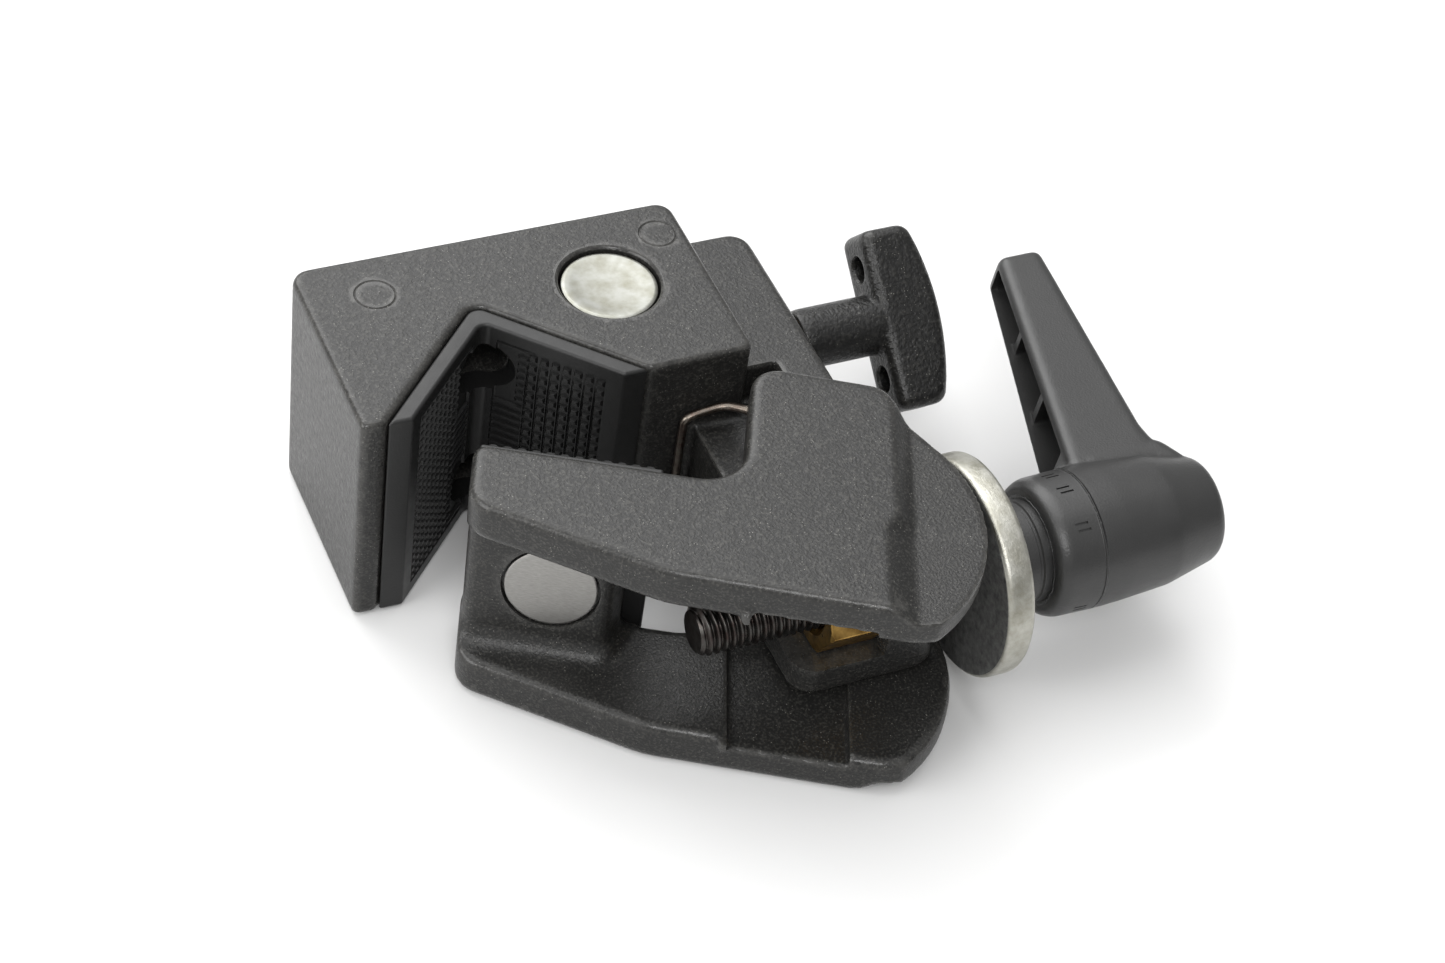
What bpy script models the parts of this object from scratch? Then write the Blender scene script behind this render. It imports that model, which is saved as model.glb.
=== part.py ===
"""Super clamp: a V-jawed casting, a hinged U-section arm and a ratchet-handled screw that closes them.

The clamp lies flat with the arm's pivot axis upright. Lengths in the constants are millimetres, measured from
the stud socket's axis (X along the clamp screw, Y towards the back of the head) and from the lower face (Z).
"""
import math

import bmesh
import bpy
from mathutils import Matrix, Vector

MM = 0.001

# Castings
BODY_H = 41.0                       # height of the head and of the arm
MID_Z = BODY_H / 2                  # every axis across the clamp lies at mid height
BOX_MIDDLE = (16.95, -30.92)        # middle of the whole clamp's footprint, seen from the socket axis
GAP = 0.3                           # clearance between neighbouring pieces
EDGE = 1.2                          # rounding of the cast edges

# Head with its V jaw
HEAD_LEFT, HEAD_RIGHT = -46.5, 16.0
HEAD_BACK, HEAD_FRONT = 15.6, -19.5
V_X, V_APEX_Y = -22.0, 1.4
PAD_THICK = 2.8
PAD_H = 40.6
PEG_HOLE_R = 4.6
PEG_HOLE_Z = (MID_Z + 11.8, MID_Z - 11.8)

# Stud socket and its plug
SOCKET_AF = 16.2
SOCKET_TOP = 33.0
SOCKET_NECK_R = 6.5
PLUG_SEAT_Z = 36.0
PLUG_R = 7.6
PLUG_TOP = 40.3

# Shank between the head and the screw
SHANK_Z0, SHANK_Z1 = 7.6, 33.4
SHANK_RIGHT, SHANK_BACK = 29.4, 13.5
YOKE_LEFT, YOKE_RIGHT, YOKE_FRONT = 8.6, 33.2, -61.4
CORE_Z0, CORE_Z1 = 14.8, 26.2       # plate that joins shank and yoke between the two spring coils
CORE_LEFT, CORE_RIGHT = 7.6, 22.0
CORE_ROOT_Y = -15.0                 # inside the head, where the plate starts

# Arm pivot
PIVOT = (18.95, -38.1)
ARM_ANGLE = math.radians(-23.3)     # direction of the arm's own x axis at rest
BOLT_R, BOLT_HEAD_R = 4.0, 6.2
BOLT_Z0, BOLT_SHOULDER_Z, BOLT_Z1 = 0.5, 3.6, 38.2
BUSH_R = 5.2
SPRING_POCKET_R = 9.0
SPRING_R, SPRING_WIRE_R = 7.4, 0.9
SPRING_PITCH = 2.0
SPRING_STEP = math.radians(30)      # turn between two points along the coil

# Arm, in its own axes about the pivot
FLANGE = 7.2
JAW_TIP, JAW_VALLEY = (-51.2, -9.8), (-11.9, -13.0)
LOBE_MIDDLE, LOBE_R = (-1.0, -17.7), 25.1
LOBE_STEP = 2.6                     # how much lower the lobe lies than the rest of its flange
RECESS = 1.7                        # relief in the flanges' inner faces beside the yoke
ARM_PAD_THICK, ARM_PAD_LONG = 2.2, 27.0
WEB = ((-50.9, -10.0, 0.8), (-51.0, -17.2, 2.0), (-29.2, -19.4, 2.2), (-26.4, -12.3, 1.4))
BADGE_AT = (-39.0, -18.42)
BADGE_TILT = math.atan2(WEB[2][1] - WEB[1][1], WEB[2][0] - WEB[1][0])
BADGE_R = 7.4

# Clamp screw and washer
SCREW_Y = -54.1
SCREW_R = 4.0
SCREW_X0, SCREW_X1 = -6.5, 66.0
TAPPED_X0, TAPPED_R = 57.5, 2.4     # tapped end that the retaining screw enters
NUT_X0, NUT_X1, NUT_AF = 12.6, 22.4, 14.0
NUT_SLOT_X, NUT_SLOT_TOP = 22.9, -45.4
WASHER_X0, WASHER_THICK, WASHER_R = 36.9, 4.6, 17.3
COLLAR_X0, COLLAR_X1, COLLAR_R = 41.8, 53.0, 8.1

# Ratchet handle
HUB_X0, HUB_X1 = 49.4, 80.4
HUB_R = 11.1
LEVER_ANGLE = math.radians(8.0)
LEVER_ROOT, LEVER_TIP = 5.0, 53.0
LEVER_LEFT, LEVER_RIGHT = (58.6, 68.5), (74.6, 76.4)    # its edges at the root and at the tip
LEVER_THICK = (14.0, 8.0)
LEVER_WALL = 1.6
LEVER_POCKETS = ((13.0, 25.0), (26.2, 38.0), (39.2, 51.3))
CORE_R, CORE_TEETH = 6.9, 16
CORE_X0, CORE_X1 = 53.6, 65.6
WELL_R, WELL_X0, THROAT_R = 5.6, 68.2, 2.9              # outer well for the spring, and its throat
SEAT_X0, SEAT_X1 = 68.6, 69.3
HEAD_SCREW_X0, HEAD_SCREW_X1 = 75.6, 78.6

# Locking knob
KNOB_Y = -1.0
KNOB_NECK_X0, KNOB_FACE_X, KNOB_TOP_X = 33.8, 47.8, 58.8
KNOB_NECK_R = 5.0
KNOB_HALF, KNOB_WIDE, KNOB_END = 15.0, 9.8, 8.4
KNOB_HOLE_R, KNOB_HOLE_AT = 2.1, 9.2
KNOB_ANGLE = math.radians(40.0)
STUD_X0, STUD_X1 = 10.6, 41.0
INSERT_R, INSERT_X0 = 5.8, 15.5
TIP_X0 = 8.7


def clear_scene():
    for obj in list(bpy.data.objects):
        bpy.data.objects.remove(obj, do_unlink=True)


clear_scene()
PARTS = bpy.data.collections.new("super_clamp")
CUTTERS = bpy.data.collections.new("cutters")
for group in (PARTS, CUTTERS):
    bpy.context.scene.collection.children.link(group)

FRAME = bpy.data.objects.new("socket_axis", None)
FRAME.location = (-BOX_MIDDLE[0] * MM, -BOX_MIDDLE[1] * MM, 0)
PARTS.objects.link(FRAME)


def material(name, color, roughness, metallic=0.0):
    mat = bpy.data.materials.new(name)
    mat.use_nodes = True
    shader = mat.node_tree.nodes["Principled BSDF"]
    shader.inputs["Base Color"].default_value = (*color, 1)
    shader.inputs["Roughness"].default_value = roughness
    shader.inputs["Metallic"].default_value = metallic
    return mat


BLACK_PAINT = material("black_paint", (0.025, 0.025, 0.025), 0.55)
BLACK_PLASTIC = material("black_plastic", (0.03, 0.03, 0.03), 0.5)
PAD_PLASTIC = material("pad_plastic", (0.02, 0.02, 0.021), 0.45)
ZINC = material("zinc_plate", (0.72, 0.71, 0.64), 0.32, 1.0)
BRIGHT_METAL = material("bright_metal", (0.78, 0.77, 0.74), 0.3, 1.0)
DARK_STEEL = material("dark_steel", (0.06, 0.057, 0.053), 0.4, 1.0)
SPRING_STEEL = material("spring_steel", (0.35, 0.33, 0.31), 0.35, 1.0)
BRASS = material("brass", (0.52, 0.34, 0.12), 0.35, 1.0)


# ---------------------------------------------------------------- shapes

def place(obj, location=(0, 0, 0), rotation=(0, 0, 0)):
    obj.parent = FRAME
    obj.location = Vector(location) * MM
    obj.rotation_euler = rotation
    return obj


def mesh_object(name, mesh):
    obj = bpy.data.objects.new(name, mesh)
    PARTS.objects.link(obj)
    return place(obj)


def as_part(obj, mat):
    obj.data.materials.clear()
    obj.data.materials.append(mat)
    for polygon in obj.data.polygons:
        polygon.use_smooth = True
    obj.data.set_sharp_from_angle(angle=math.radians(32))
    return obj


def as_tool(obj):
    PARTS.objects.unlink(obj)
    CUTTERS.objects.link(obj)
    obj.hide_render = True
    obj.display_type = "WIRE"
    return obj


def bevel(obj, width, segments=2, angle=40):
    mod = obj.modifiers.new("rounding", "BEVEL")
    mod.width = width * MM
    mod.segments = segments
    mod.limit_method = "ANGLE"
    mod.angle_limit = math.radians(angle)
    return obj


def combine(obj, tool, operation="DIFFERENCE"):
    mod = obj.modifiers.new(tool.name, "BOOLEAN")
    mod.operation = operation
    mod.solver = "EXACT"
    mod.object = as_tool(tool)
    return obj


def fillet(before, corner, after, radius, step=18):
    """Points of the arc that rounds a corner, or the corner itself when its radius is nil."""
    corner = Vector(corner)
    if radius <= 0:
        return [tuple(corner)]
    back = (Vector(before) - corner).normalized()
    ahead = (Vector(after) - corner).normalized()
    half = back.angle(ahead) / 2
    middle = corner + (back + ahead).normalized() * (radius / math.sin(half))
    first = corner + back * (radius / math.tan(half)) - middle
    last = corner + ahead * (radius / math.tan(half)) - middle
    turn = first.angle_signed(last)
    count = max(1, round(abs(math.degrees(turn)) / step))
    return [tuple(middle + Matrix.Rotation(-turn * i / count, 2) @ first) for i in range(count + 1)]


def outline(corners, step=18):
    """Closed outline through (x, y, radius) corners."""
    points = []
    for i, corner in enumerate(corners):
        before, after = corners[i - 1], corners[(i + 1) % len(corners)]
        points += fillet(before[:2], corner[:2], after[:2], corner[2], step)
    return points


def slab(name, points, z0, z1):
    """Flat plate of the given outline between two heights."""
    curve = bpy.data.curves.new(name, "CURVE")
    curve.dimensions = "2D"
    curve.fill_mode = "BOTH"
    curve.extrude = (z1 - z0) / 2 * MM
    spline = curve.splines.new("POLY")
    spline.points.add(len(points) - 1)
    for point, (x, y) in zip(spline.points, points):
        point.co = (x * MM, y * MM, 0, 1)
    spline.use_cyclic_u = True
    flat = bpy.data.objects.new(name, curve)
    PARTS.objects.link(flat)
    bpy.context.view_layer.update()
    mesh = bpy.data.meshes.new_from_object(flat.evaluated_get(bpy.context.evaluated_depsgraph_get()))
    bpy.data.objects.remove(flat, do_unlink=True)
    work = bmesh.new()
    work.from_mesh(mesh)
    bmesh.ops.remove_doubles(work, verts=work.verts, dist=1e-6)
    bmesh.ops.translate(work, verts=work.verts, vec=(0, 0, (z0 + z1) / 2 * MM))
    bmesh.ops.recalc_face_normals(work, faces=work.faces)
    bmesh.ops.dissolve_limit(work, angle_limit=0.01, verts=work.verts, edges=work.edges)
    work.to_mesh(mesh)
    work.free()
    return mesh_object(name, mesh)


def turned(name, profile, x=0.0, y=0.0, z=MID_Z, hollow=False, steps=32, along="X"):
    """Solid of revolution from (radius, distance) points that run from the far end to the near end."""
    mesh = bpy.data.meshes.new(name)
    verts = [(radius * MM, 0, distance * MM) for radius, distance in profile]
    edges = [(i, i + 1) for i in range(len(verts) - 1)]
    if hollow:
        edges.append((len(verts) - 1, 0))
    mesh.from_pydata(verts, edges, [])
    obj = mesh_object(name, mesh)
    mod = obj.modifiers.new("turning", "SCREW")
    mod.steps = mod.render_steps = steps
    mod.use_merge_vertices = True
    mod.merge_threshold = 1e-6
    mod.use_smooth_shade = True
    place(obj, (x, y, z), (0, math.pi / 2, 0) if along == "X" else (0, 0, 0))
    return obj


def rod(name, radius, start, end, x=0.0, y=0.0, z=MID_Z, along="X", sides=32, chamfer=0.0):
    profile = [(0, end), (radius - chamfer, end), (radius, end - chamfer)]
    profile += [(radius, start + chamfer), (radius - chamfer, start), (0, start)]
    if chamfer == 0:
        profile = [(0, end), (radius, end), (radius, start), (0, start)]
    return turned(name, profile, x, y, z, steps=sides, along=along)


def ring(name, inner, outer, start, end, x=0.0, y=0.0, z=MID_Z, along="X", sides=32, round_over=0.0):
    r = round_over
    profile = [(inner, end), (outer - r, end), (outer, end - r)]
    profile += [(outer, start + r), (outer - r, start), (inner, start)]
    if r == 0:
        profile = [(inner, end), (outer, end), (outer, start), (inner, start)]
    return turned(name, profile, x, y, z, hollow=True, steps=sides, along=along)


def box(name, low, high):
    mesh = bpy.data.meshes.new(name)
    work = bmesh.new()
    bmesh.ops.create_cube(work, size=1)
    for vert in work.verts:
        vert.co = [(low[i] if vert.co[i] < 0 else high[i]) * MM for i in range(3)]
    work.to_mesh(mesh)
    work.free()
    return mesh_object(name, mesh)


def prism(name, sides, across_flats, start, end, twist=0.0):
    """Regular prism along its own Z."""
    mesh = bpy.data.meshes.new(name)
    work = bmesh.new()
    radius = across_flats / 2 / math.cos(math.pi / sides) * MM
    bmesh.ops.create_cone(work, cap_ends=True, segments=sides, radius1=radius, radius2=radius,
                          depth=(end - start) * MM, matrix=Matrix.Translation((0, 0, (start + end) / 2 * MM)))
    bmesh.ops.rotate(work, verts=work.verts, matrix=Matrix.Rotation(twist, 3, "Z"))
    work.to_mesh(mesh)
    work.free()
    return mesh_object(name, mesh)


def wire(name, points, radius, mat):
    """Round wire with capped ends through the points."""
    curve = bpy.data.curves.new(name, "CURVE")
    curve.dimensions = "3D"
    curve.bevel_depth = radius * MM
    curve.bevel_resolution = 2
    curve.use_fill_caps = True
    spline = curve.splines.new("POLY")
    spline.points.add(len(points) - 1)
    for point, co in zip(spline.points, points):
        point.co = (*(Vector(co) * MM), 1)
    obj = bpy.data.objects.new(name, curve)
    curve.materials.append(mat)
    PARTS.objects.link(obj)
    return place(obj)


# ---------------------------------------------------------------- main casting

def make_jaw_casting():
    leg = V_APEX_Y - HEAD_FRONT
    head = slab("jaw_casting", outline([
        (HEAD_LEFT, HEAD_BACK, 3.0), (HEAD_LEFT, HEAD_FRONT, 1.0), (V_X - leg, HEAD_FRONT, 0.8),
        (V_X, V_APEX_Y, 2.6), (V_X + leg, HEAD_FRONT, 0.8), (HEAD_RIGHT, HEAD_FRONT, 1.6),
        (HEAD_RIGHT, HEAD_BACK, 2.8)]), 0, BODY_H)
    bevel(head, EDGE)
    for z in PEG_HOLE_Z:
        combine(head, peg_cutter("peg_hole", z, V_APEX_Y + 6))
    shank = slab("shank", outline([
        (12, SHANK_BACK, 0), (12, -12, 0), (15, -15, 0), (15, -29, 2), (YOKE_LEFT + 1, -38, 3),
        (YOKE_LEFT, -46, 3), (YOKE_LEFT, YOKE_FRONT, 4), (YOKE_RIGHT, YOKE_FRONT, 4.5),
        (YOKE_RIGHT, -43, 5), (SHANK_RIGHT, -34, 8), (SHANK_RIGHT, SHANK_BACK, 3.5)]), SHANK_Z0, SHANK_Z1)
    bevel(shank, EDGE)
    combine(shank, pocket("spring_pocket_upper", CORE_Z1, BODY_H))
    combine(shank, pocket("spring_pocket_lower", 0, CORE_Z0))
    combine(head, shank, "UNION")
    core = slab("shank_core", outline([
        (CORE_LEFT, CORE_ROOT_Y, 0), (CORE_LEFT, -36, 3), (CORE_LEFT + 2.4, NUT_SLOT_TOP, 0),
        (CORE_RIGHT, NUT_SLOT_TOP, 0), (CORE_RIGHT, CORE_ROOT_Y, 0)]), CORE_Z0, CORE_Z1)
    combine(head, core, "UNION")
    combine(head, rod("pivot_bore", BUSH_R + GAP, SHANK_Z0 - 1, SHANK_Z1 + 1, *PIVOT, 0, along="Z"))
    cut_yoke(head)
    cut_socket(head)
    return as_part(head, BLACK_PAINT)


def pocket(name, z0, z1):
    """Space for one coil of the torsion spring, open towards the head and towards the jaws."""
    x, y = PIVOT
    r = SPRING_POCKET_R
    return slab(name, outline([
        (5, HEAD_FRONT + 3, 0), (5, y - r, 0), (x + r, y - r, r - 0.1), (x + r, y + 3.5, 4),
        (22, y + 10, 2), (22, HEAD_FRONT + 3, 0)]), z0, z1)


def peg_cutter(name, z, depth_y):
    cutter = rod(name, PEG_HOLE_R, 0, depth_y - HEAD_FRONT, sides=24)
    return place(cutter, (V_X, HEAD_FRONT, z), (-math.pi / 2, 0, 0))


def cut_yoke(head):
    """Slot that holds the nut but lets it rock, and the oblong passage the screw leaves by."""
    half = NUT_AF / 2 + GAP
    low = (0, YOKE_FRONT - 5, MID_Z - half)
    combine(head, box("nut_slot", low, (NUT_SLOT_X, NUT_SLOT_TOP, MID_Z + half)))
    wide, tall = SCREW_R + 1.6, SCREW_R + 0.5
    corners = [(-wide, -tall, 4.4), (wide, -tall, 4.4), (wide, tall, 4.4), (-wide, tall, 4.4)]
    passage = slab("screw_passage", outline(corners), NUT_SLOT_X - 1, YOKE_RIGHT + 1)
    combine(head, place(passage, (0, SCREW_Y, MID_Z), (math.pi / 2, 0, math.pi / 2)))


def cut_socket(head):
    combine(head, prism("stud_socket", 6, SOCKET_AF, -1, SOCKET_TOP))
    combine(head, rod("socket_neck", SOCKET_NECK_R, SOCKET_TOP - 1, PLUG_SEAT_Z + 1, z=0, along="Z"))
    combine(head, rod("plug_hole", PLUG_R + GAP, PLUG_SEAT_Z, BODY_H + 1, z=0, along="Z"))
    combine(head, rod("knob_bore", INSERT_R + GAP, INSERT_X0, SHANK_RIGHT + 1, y=KNOB_Y))
    combine(head, rod("knob_tip_bore", SCREW_R + GAP, 5, INSERT_X0 + 1, y=KNOB_Y))


def make_socket_plug():
    crown = [(0, PLUG_TOP - 0.35), (3.5, PLUG_TOP - 0.25), (6.4, PLUG_TOP), (PLUG_R - 0.35, PLUG_TOP - 0.15)]
    rim = [(PLUG_R, PLUG_TOP - 0.6), (PLUG_R, PLUG_SEAT_Z + GAP), (0, PLUG_SEAT_Z + GAP)]
    return as_part(turned("socket_plug", crown + rim, z=0, along="Z", steps=40), BRIGHT_METAL)


def make_fixed_pad():
    slant = math.sqrt(2)
    top = V_APEX_Y - GAP * slant
    front = HEAD_FRONT - 0.1
    leg = top - front
    inner = leg - PAD_THICK * slant
    pad = slab("fixed_jaw_pad", outline([
        (V_X - leg, front, 0), (V_X, top, 2.3), (V_X + leg, front, 0),
        (V_X + inner, front, 0.6), (V_X, top - PAD_THICK * slant, 1.4), (V_X - inner, front, 0.6)]),
        MID_Z - PAD_H / 2, MID_Z + PAD_H / 2)
    bevel(pad, 0.5, 1)
    for z in PEG_HOLE_Z:
        combine(pad, peg_cutter("pad_peg_hole", z, V_APEX_Y + 2))
    return as_part(pad, PAD_PLASTIC)


# ---------------------------------------------------------------- arm

def arm_place(obj):
    return place(obj, (*PIVOT, 0), (0, 0, ARM_ANGLE))


def arm_outline():
    """Outline of one flange: jaw at the left, ear over the pivot, round lobe under the washer."""
    cx, cy = LOBE_MIDDLE
    corners = [(*JAW_TIP, 1.2), (-51.4, -21.6, 4.5), (-22.5, -32.4, 14), (5.0, -35.6, 3)]
    points = outline([(20, 0, 0)] + corners + [(16, -36.6, 0)])[1:-1]
    points.append((13.0, -36.4))
    for degrees in range(-46, 50, 8):
        angle = math.radians(degrees)
        points.append((cx + LOBE_R * math.cos(angle), cy + LOBE_R * math.sin(angle)))
    ear = [(12.6, 4.6, 1.5), (9.6, 9.8, 4), (-10.4, 12.2, 4.5), (*JAW_VALLEY, 6.5)]
    points += outline([(20, -2, 0)] + ear + [(*JAW_TIP, 0)])[1:-1]
    return points


def make_arm_casting():
    arm = arm_place(slab("arm_casting", arm_outline(), BODY_H - FLANGE, BODY_H))
    bevel(arm, EDGE)
    lower = arm_place(slab("arm_flange_lower", arm_outline(), 0, FLANGE))
    web = arm_place(slab("arm_web", outline(WEB), FLANGE - 2, BODY_H - FLANGE + 2))
    combine(arm, bevel(lower, EDGE), "UNION")
    combine(arm, web, "UNION")
    for z0, z1 in ((BODY_H - FLANGE - 1, BODY_H - FLANGE + RECESS), (FLANGE - RECESS, FLANGE + 1)):
        recess = slab("flange_recess", [(-10.4, -50), (8.0, -50), (8.0, 6), (-10.4, 6)], z0, z1)
        combine(arm, arm_place(recess))
    for top_side in (True, False):
        combine(arm, lobe_step("step_front", (9.0, 11.8), -50, -18.5, top_side))
        combine(arm, lobe_step("step_back", (11.6, 12.6), -18.6, 20, top_side))
    combine(arm, arm_place(rod("bolt_bore", BOLT_R + GAP, -1, BOLT_Z1 + GAP, z=0, along="Z")))
    head_bore = rod("bolt_head_bore", BOLT_HEAD_R + GAP, -1, BOLT_SHOULDER_Z + GAP, z=0, along="Z")
    combine(arm, arm_place(head_bore))
    combine(arm, badge_shape("badge_recess", BADGE_R + 0.4, -0.9, 1.0))
    return as_part(arm, BLACK_PAINT)


def lobe_step(name, ramp, y0, y1, top_side):
    """Wedge that lowers one face of the lobe by the step, behind a short ramp."""
    face, way = (BODY_H, 1) if top_side else (0, -1)
    points = [(ramp[0], face), (ramp[1], face - way * LOBE_STEP), (40, face - way * LOBE_STEP),
              (40, face + way * 3), (ramp[0] - 3, face + way * 3)]
    wedge = arm_place(slab(name, points, y0, y1))
    upright = Matrix(((1, 0, 0, 0), (0, 0, 1, 0), (0, 1, 0, 0), (0, 0, 0, 1)))
    wedge.data.transform(upright)
    wedge.data.flip_normals()
    return wedge


def badge_shape(name, radius, low, high):
    """Oval disc standing on the web's outer face."""
    disc = rod(name, radius, low, high, sides=40)
    turn = Matrix.Rotation(ARM_ANGLE, 4, "Z") @ Matrix.Translation((BADGE_AT[0] * MM, BADGE_AT[1] * MM, 0))
    face = Matrix.Rotation(BADGE_TILT, 4, "Z") @ Matrix.Rotation(math.pi / 2, 4, "X")
    stretch = Matrix.Diagonal((0.95, 1.06, 1, 1))
    disc.matrix_basis = Matrix.Translation((PIVOT[0] * MM, PIVOT[1] * MM, MID_Z * MM)) @ turn @ face @ stretch
    return disc


def make_arm_pad():
    along = (Vector(JAW_VALLEY) - Vector(JAW_TIP)).normalized()
    out = Vector((-along.y, along.x))
    near, far = GAP, GAP + ARM_PAD_THICK
    start = Vector(JAW_TIP) + along * 0.8
    end = start + along * ARM_PAD_LONG
    points = [start + out * far, start + out * near, end + out * near, end + out * far]
    pad = arm_place(slab("arm_jaw_pad", [tuple(p) for p in points], 1.9, BODY_H - 1.9))
    bevel(pad, 0.6, 2)
    return as_part(pad, PAD_PLASTIC)


def make_pivot_bolt():
    profile = [(0, BOLT_Z1), (BOLT_R - 0.6, BOLT_Z1), (BOLT_R, BOLT_Z1 - 0.6), (BOLT_R, BOLT_SHOULDER_Z),
               (BOLT_HEAD_R, BOLT_SHOULDER_Z), (BOLT_HEAD_R, BOLT_Z0 + 0.4), (BOLT_HEAD_R - 0.4, BOLT_Z0),
               (0, BOLT_Z0)]
    bolt = turned("pivot_bolt", profile, *PIVOT, 0, along="Z")
    key = prism("bolt_key", 6, 5.0, -1, 2.6)
    combine(bolt, place(key, (*PIVOT, 0)))
    return as_part(bolt, DARK_STEEL)


def make_pivot_bush():
    bush = ring("pivot_bush", BOLT_R + GAP, BUSH_R, SHANK_Z0 + 0.2, SHANK_Z1 - 0.2, *PIVOT, 0, along="Z")
    return as_part(bush, BRASS)


def make_torsion_spring():
    """Two coils round the pivot, joined by a bridge that leans on the head; the ends push the arm open."""
    px, py = PIVOT
    low = CORE_Z1 + GAP + SPRING_WIRE_R + 0.1
    first, last = math.radians(-90), math.radians(770)
    count = round((last - first) / SPRING_STEP)
    coil = []
    for i in range(count + 1):
        angle = first + (last - first) * i / count
        z = low + SPRING_PITCH * (angle - first) / (2 * math.pi)
        coil.append((px + SPRING_R * math.cos(angle), py + SPRING_R * math.sin(angle), z))
    top = coil[-1][2]
    tail = [(-0.5, -42.3, low + 5.2), (-0.5, -42.3, low + 1.6), (0.1, -42.4, low + 0.4), (1.5, -42.7, low),
            (10.0, -44.6, low)]
    wall = HEAD_FRONT - GAP - SPRING_WIRE_R - 0.1
    reach = [(16.0, wall - 4.4, top - 0.6), (12.6, wall - 0.9, top - 1.2), (11.2, wall - 0.2, top - 1.5),
             (9.4, wall, top - 1.8), (6.2, wall, top - 2.3), (5.2, wall, top - 2.9), (5.0, wall, top - 4.0)]
    upper = tail + coil + reach
    lower = [(x, y, BODY_H - z) for x, y, z in reversed(upper)]
    return wire("torsion_spring", upper + lower, SPRING_WIRE_R, SPRING_STEEL)


# ---------------------------------------------------------------- screw, washer and handle

def make_clamp_nut():
    half = (NUT_X1 - NUT_X0) / 2
    nut = prism("clamp_nut", 6, NUT_AF, -half, half)
    place(nut, (NUT_X0 + half, SCREW_Y, MID_Z), (0, math.pi / 2, 0))
    bevel(nut, 0.7, 1)
    combine(nut, rod("nut_bore", SCREW_R + GAP, NUT_X0 - 1, NUT_X1 + 1, y=SCREW_Y))
    return as_part(nut, BRASS)


def make_clamp_screw():
    tapped = [(0, TAPPED_X0), (TAPPED_R, TAPPED_X0 + 1)]
    outside = [(TAPPED_R, SCREW_X1), (SCREW_R, SCREW_X1), (SCREW_R, SCREW_X0 + 1), (SCREW_R - 0.9, SCREW_X0),
               (0, SCREW_X0)]
    return as_part(turned("clamp_screw", tapped + outside, y=SCREW_Y), DARK_STEEL)


def make_pressure_washer():
    washer = ring("pressure_washer", SCREW_R + GAP, WASHER_R, WASHER_X0, WASHER_X0 + WASHER_THICK, y=SCREW_Y,
                  sides=48, round_over=0.7)
    return as_part(washer, ZINC)


def make_thrust_collar():
    bore, rim = SCREW_R + GAP, COLLAR_R + 0.7
    profile = [(bore, COLLAR_X1), (COLLAR_R - 0.3, COLLAR_X1), (COLLAR_R, COLLAR_X1 - 0.3),
               (COLLAR_R, COLLAR_X0 + 2.6), (rim, COLLAR_X0 + 2.0), (rim, COLLAR_X0), (bore, COLLAR_X0)]
    return as_part(turned("thrust_collar", profile, y=SCREW_Y, hollow=True), BLACK_PLASTIC)


def make_ratchet_core():
    root_r = CORE_R - 0.8
    points = []
    for i in range(CORE_TEETH):
        for radius, offset in ((CORE_R, -0.22), (CORE_R, 0.22), (root_r, 0.36), (root_r, 0.64)):
            angle = 2 * math.pi * (i + offset) / CORE_TEETH
            points.append((radius * math.cos(angle), radius * math.sin(angle)))
    core = slab("ratchet_core", points, CORE_X0, CORE_X1)
    place(core, (0, SCREW_Y, MID_Z), (0, math.pi / 2, 0))
    combine(core, rod("core_bore", SCREW_R + GAP, CORE_X0 - 1, CORE_X1 + 1, y=SCREW_Y))
    return as_part(core, BRIGHT_METAL)


def lever_block(name, l0, l1, left, right, thick):
    """Tapered bar across the hub: its edges and its thickness are given at both ends of its length."""
    mesh = bpy.data.meshes.new(name)
    work = bmesh.new()
    bmesh.ops.create_cube(work, size=1)
    for vert in work.verts:
        end = 0 if vert.co.y < 0 else 1
        x = (left if vert.co.x < 0 else right)[end]
        z = math.copysign(thick[end] / 2, vert.co.z)
        vert.co = (x * MM, (l0, l1)[end] * MM, z * MM)
    work.to_mesh(mesh)
    work.free()
    block = mesh_object(name, mesh)
    return place(block, (0, SCREW_Y, MID_Z), (LEVER_ANGLE, 0, 0))


def along_lever(ends, distance):
    """Value at a distance from the screw axis, given its values at the lever's root and tip."""
    return ends[0] + (ends[1] - ends[0]) * (distance - LEVER_ROOT) / (LEVER_TIP - LEVER_ROOT)


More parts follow.
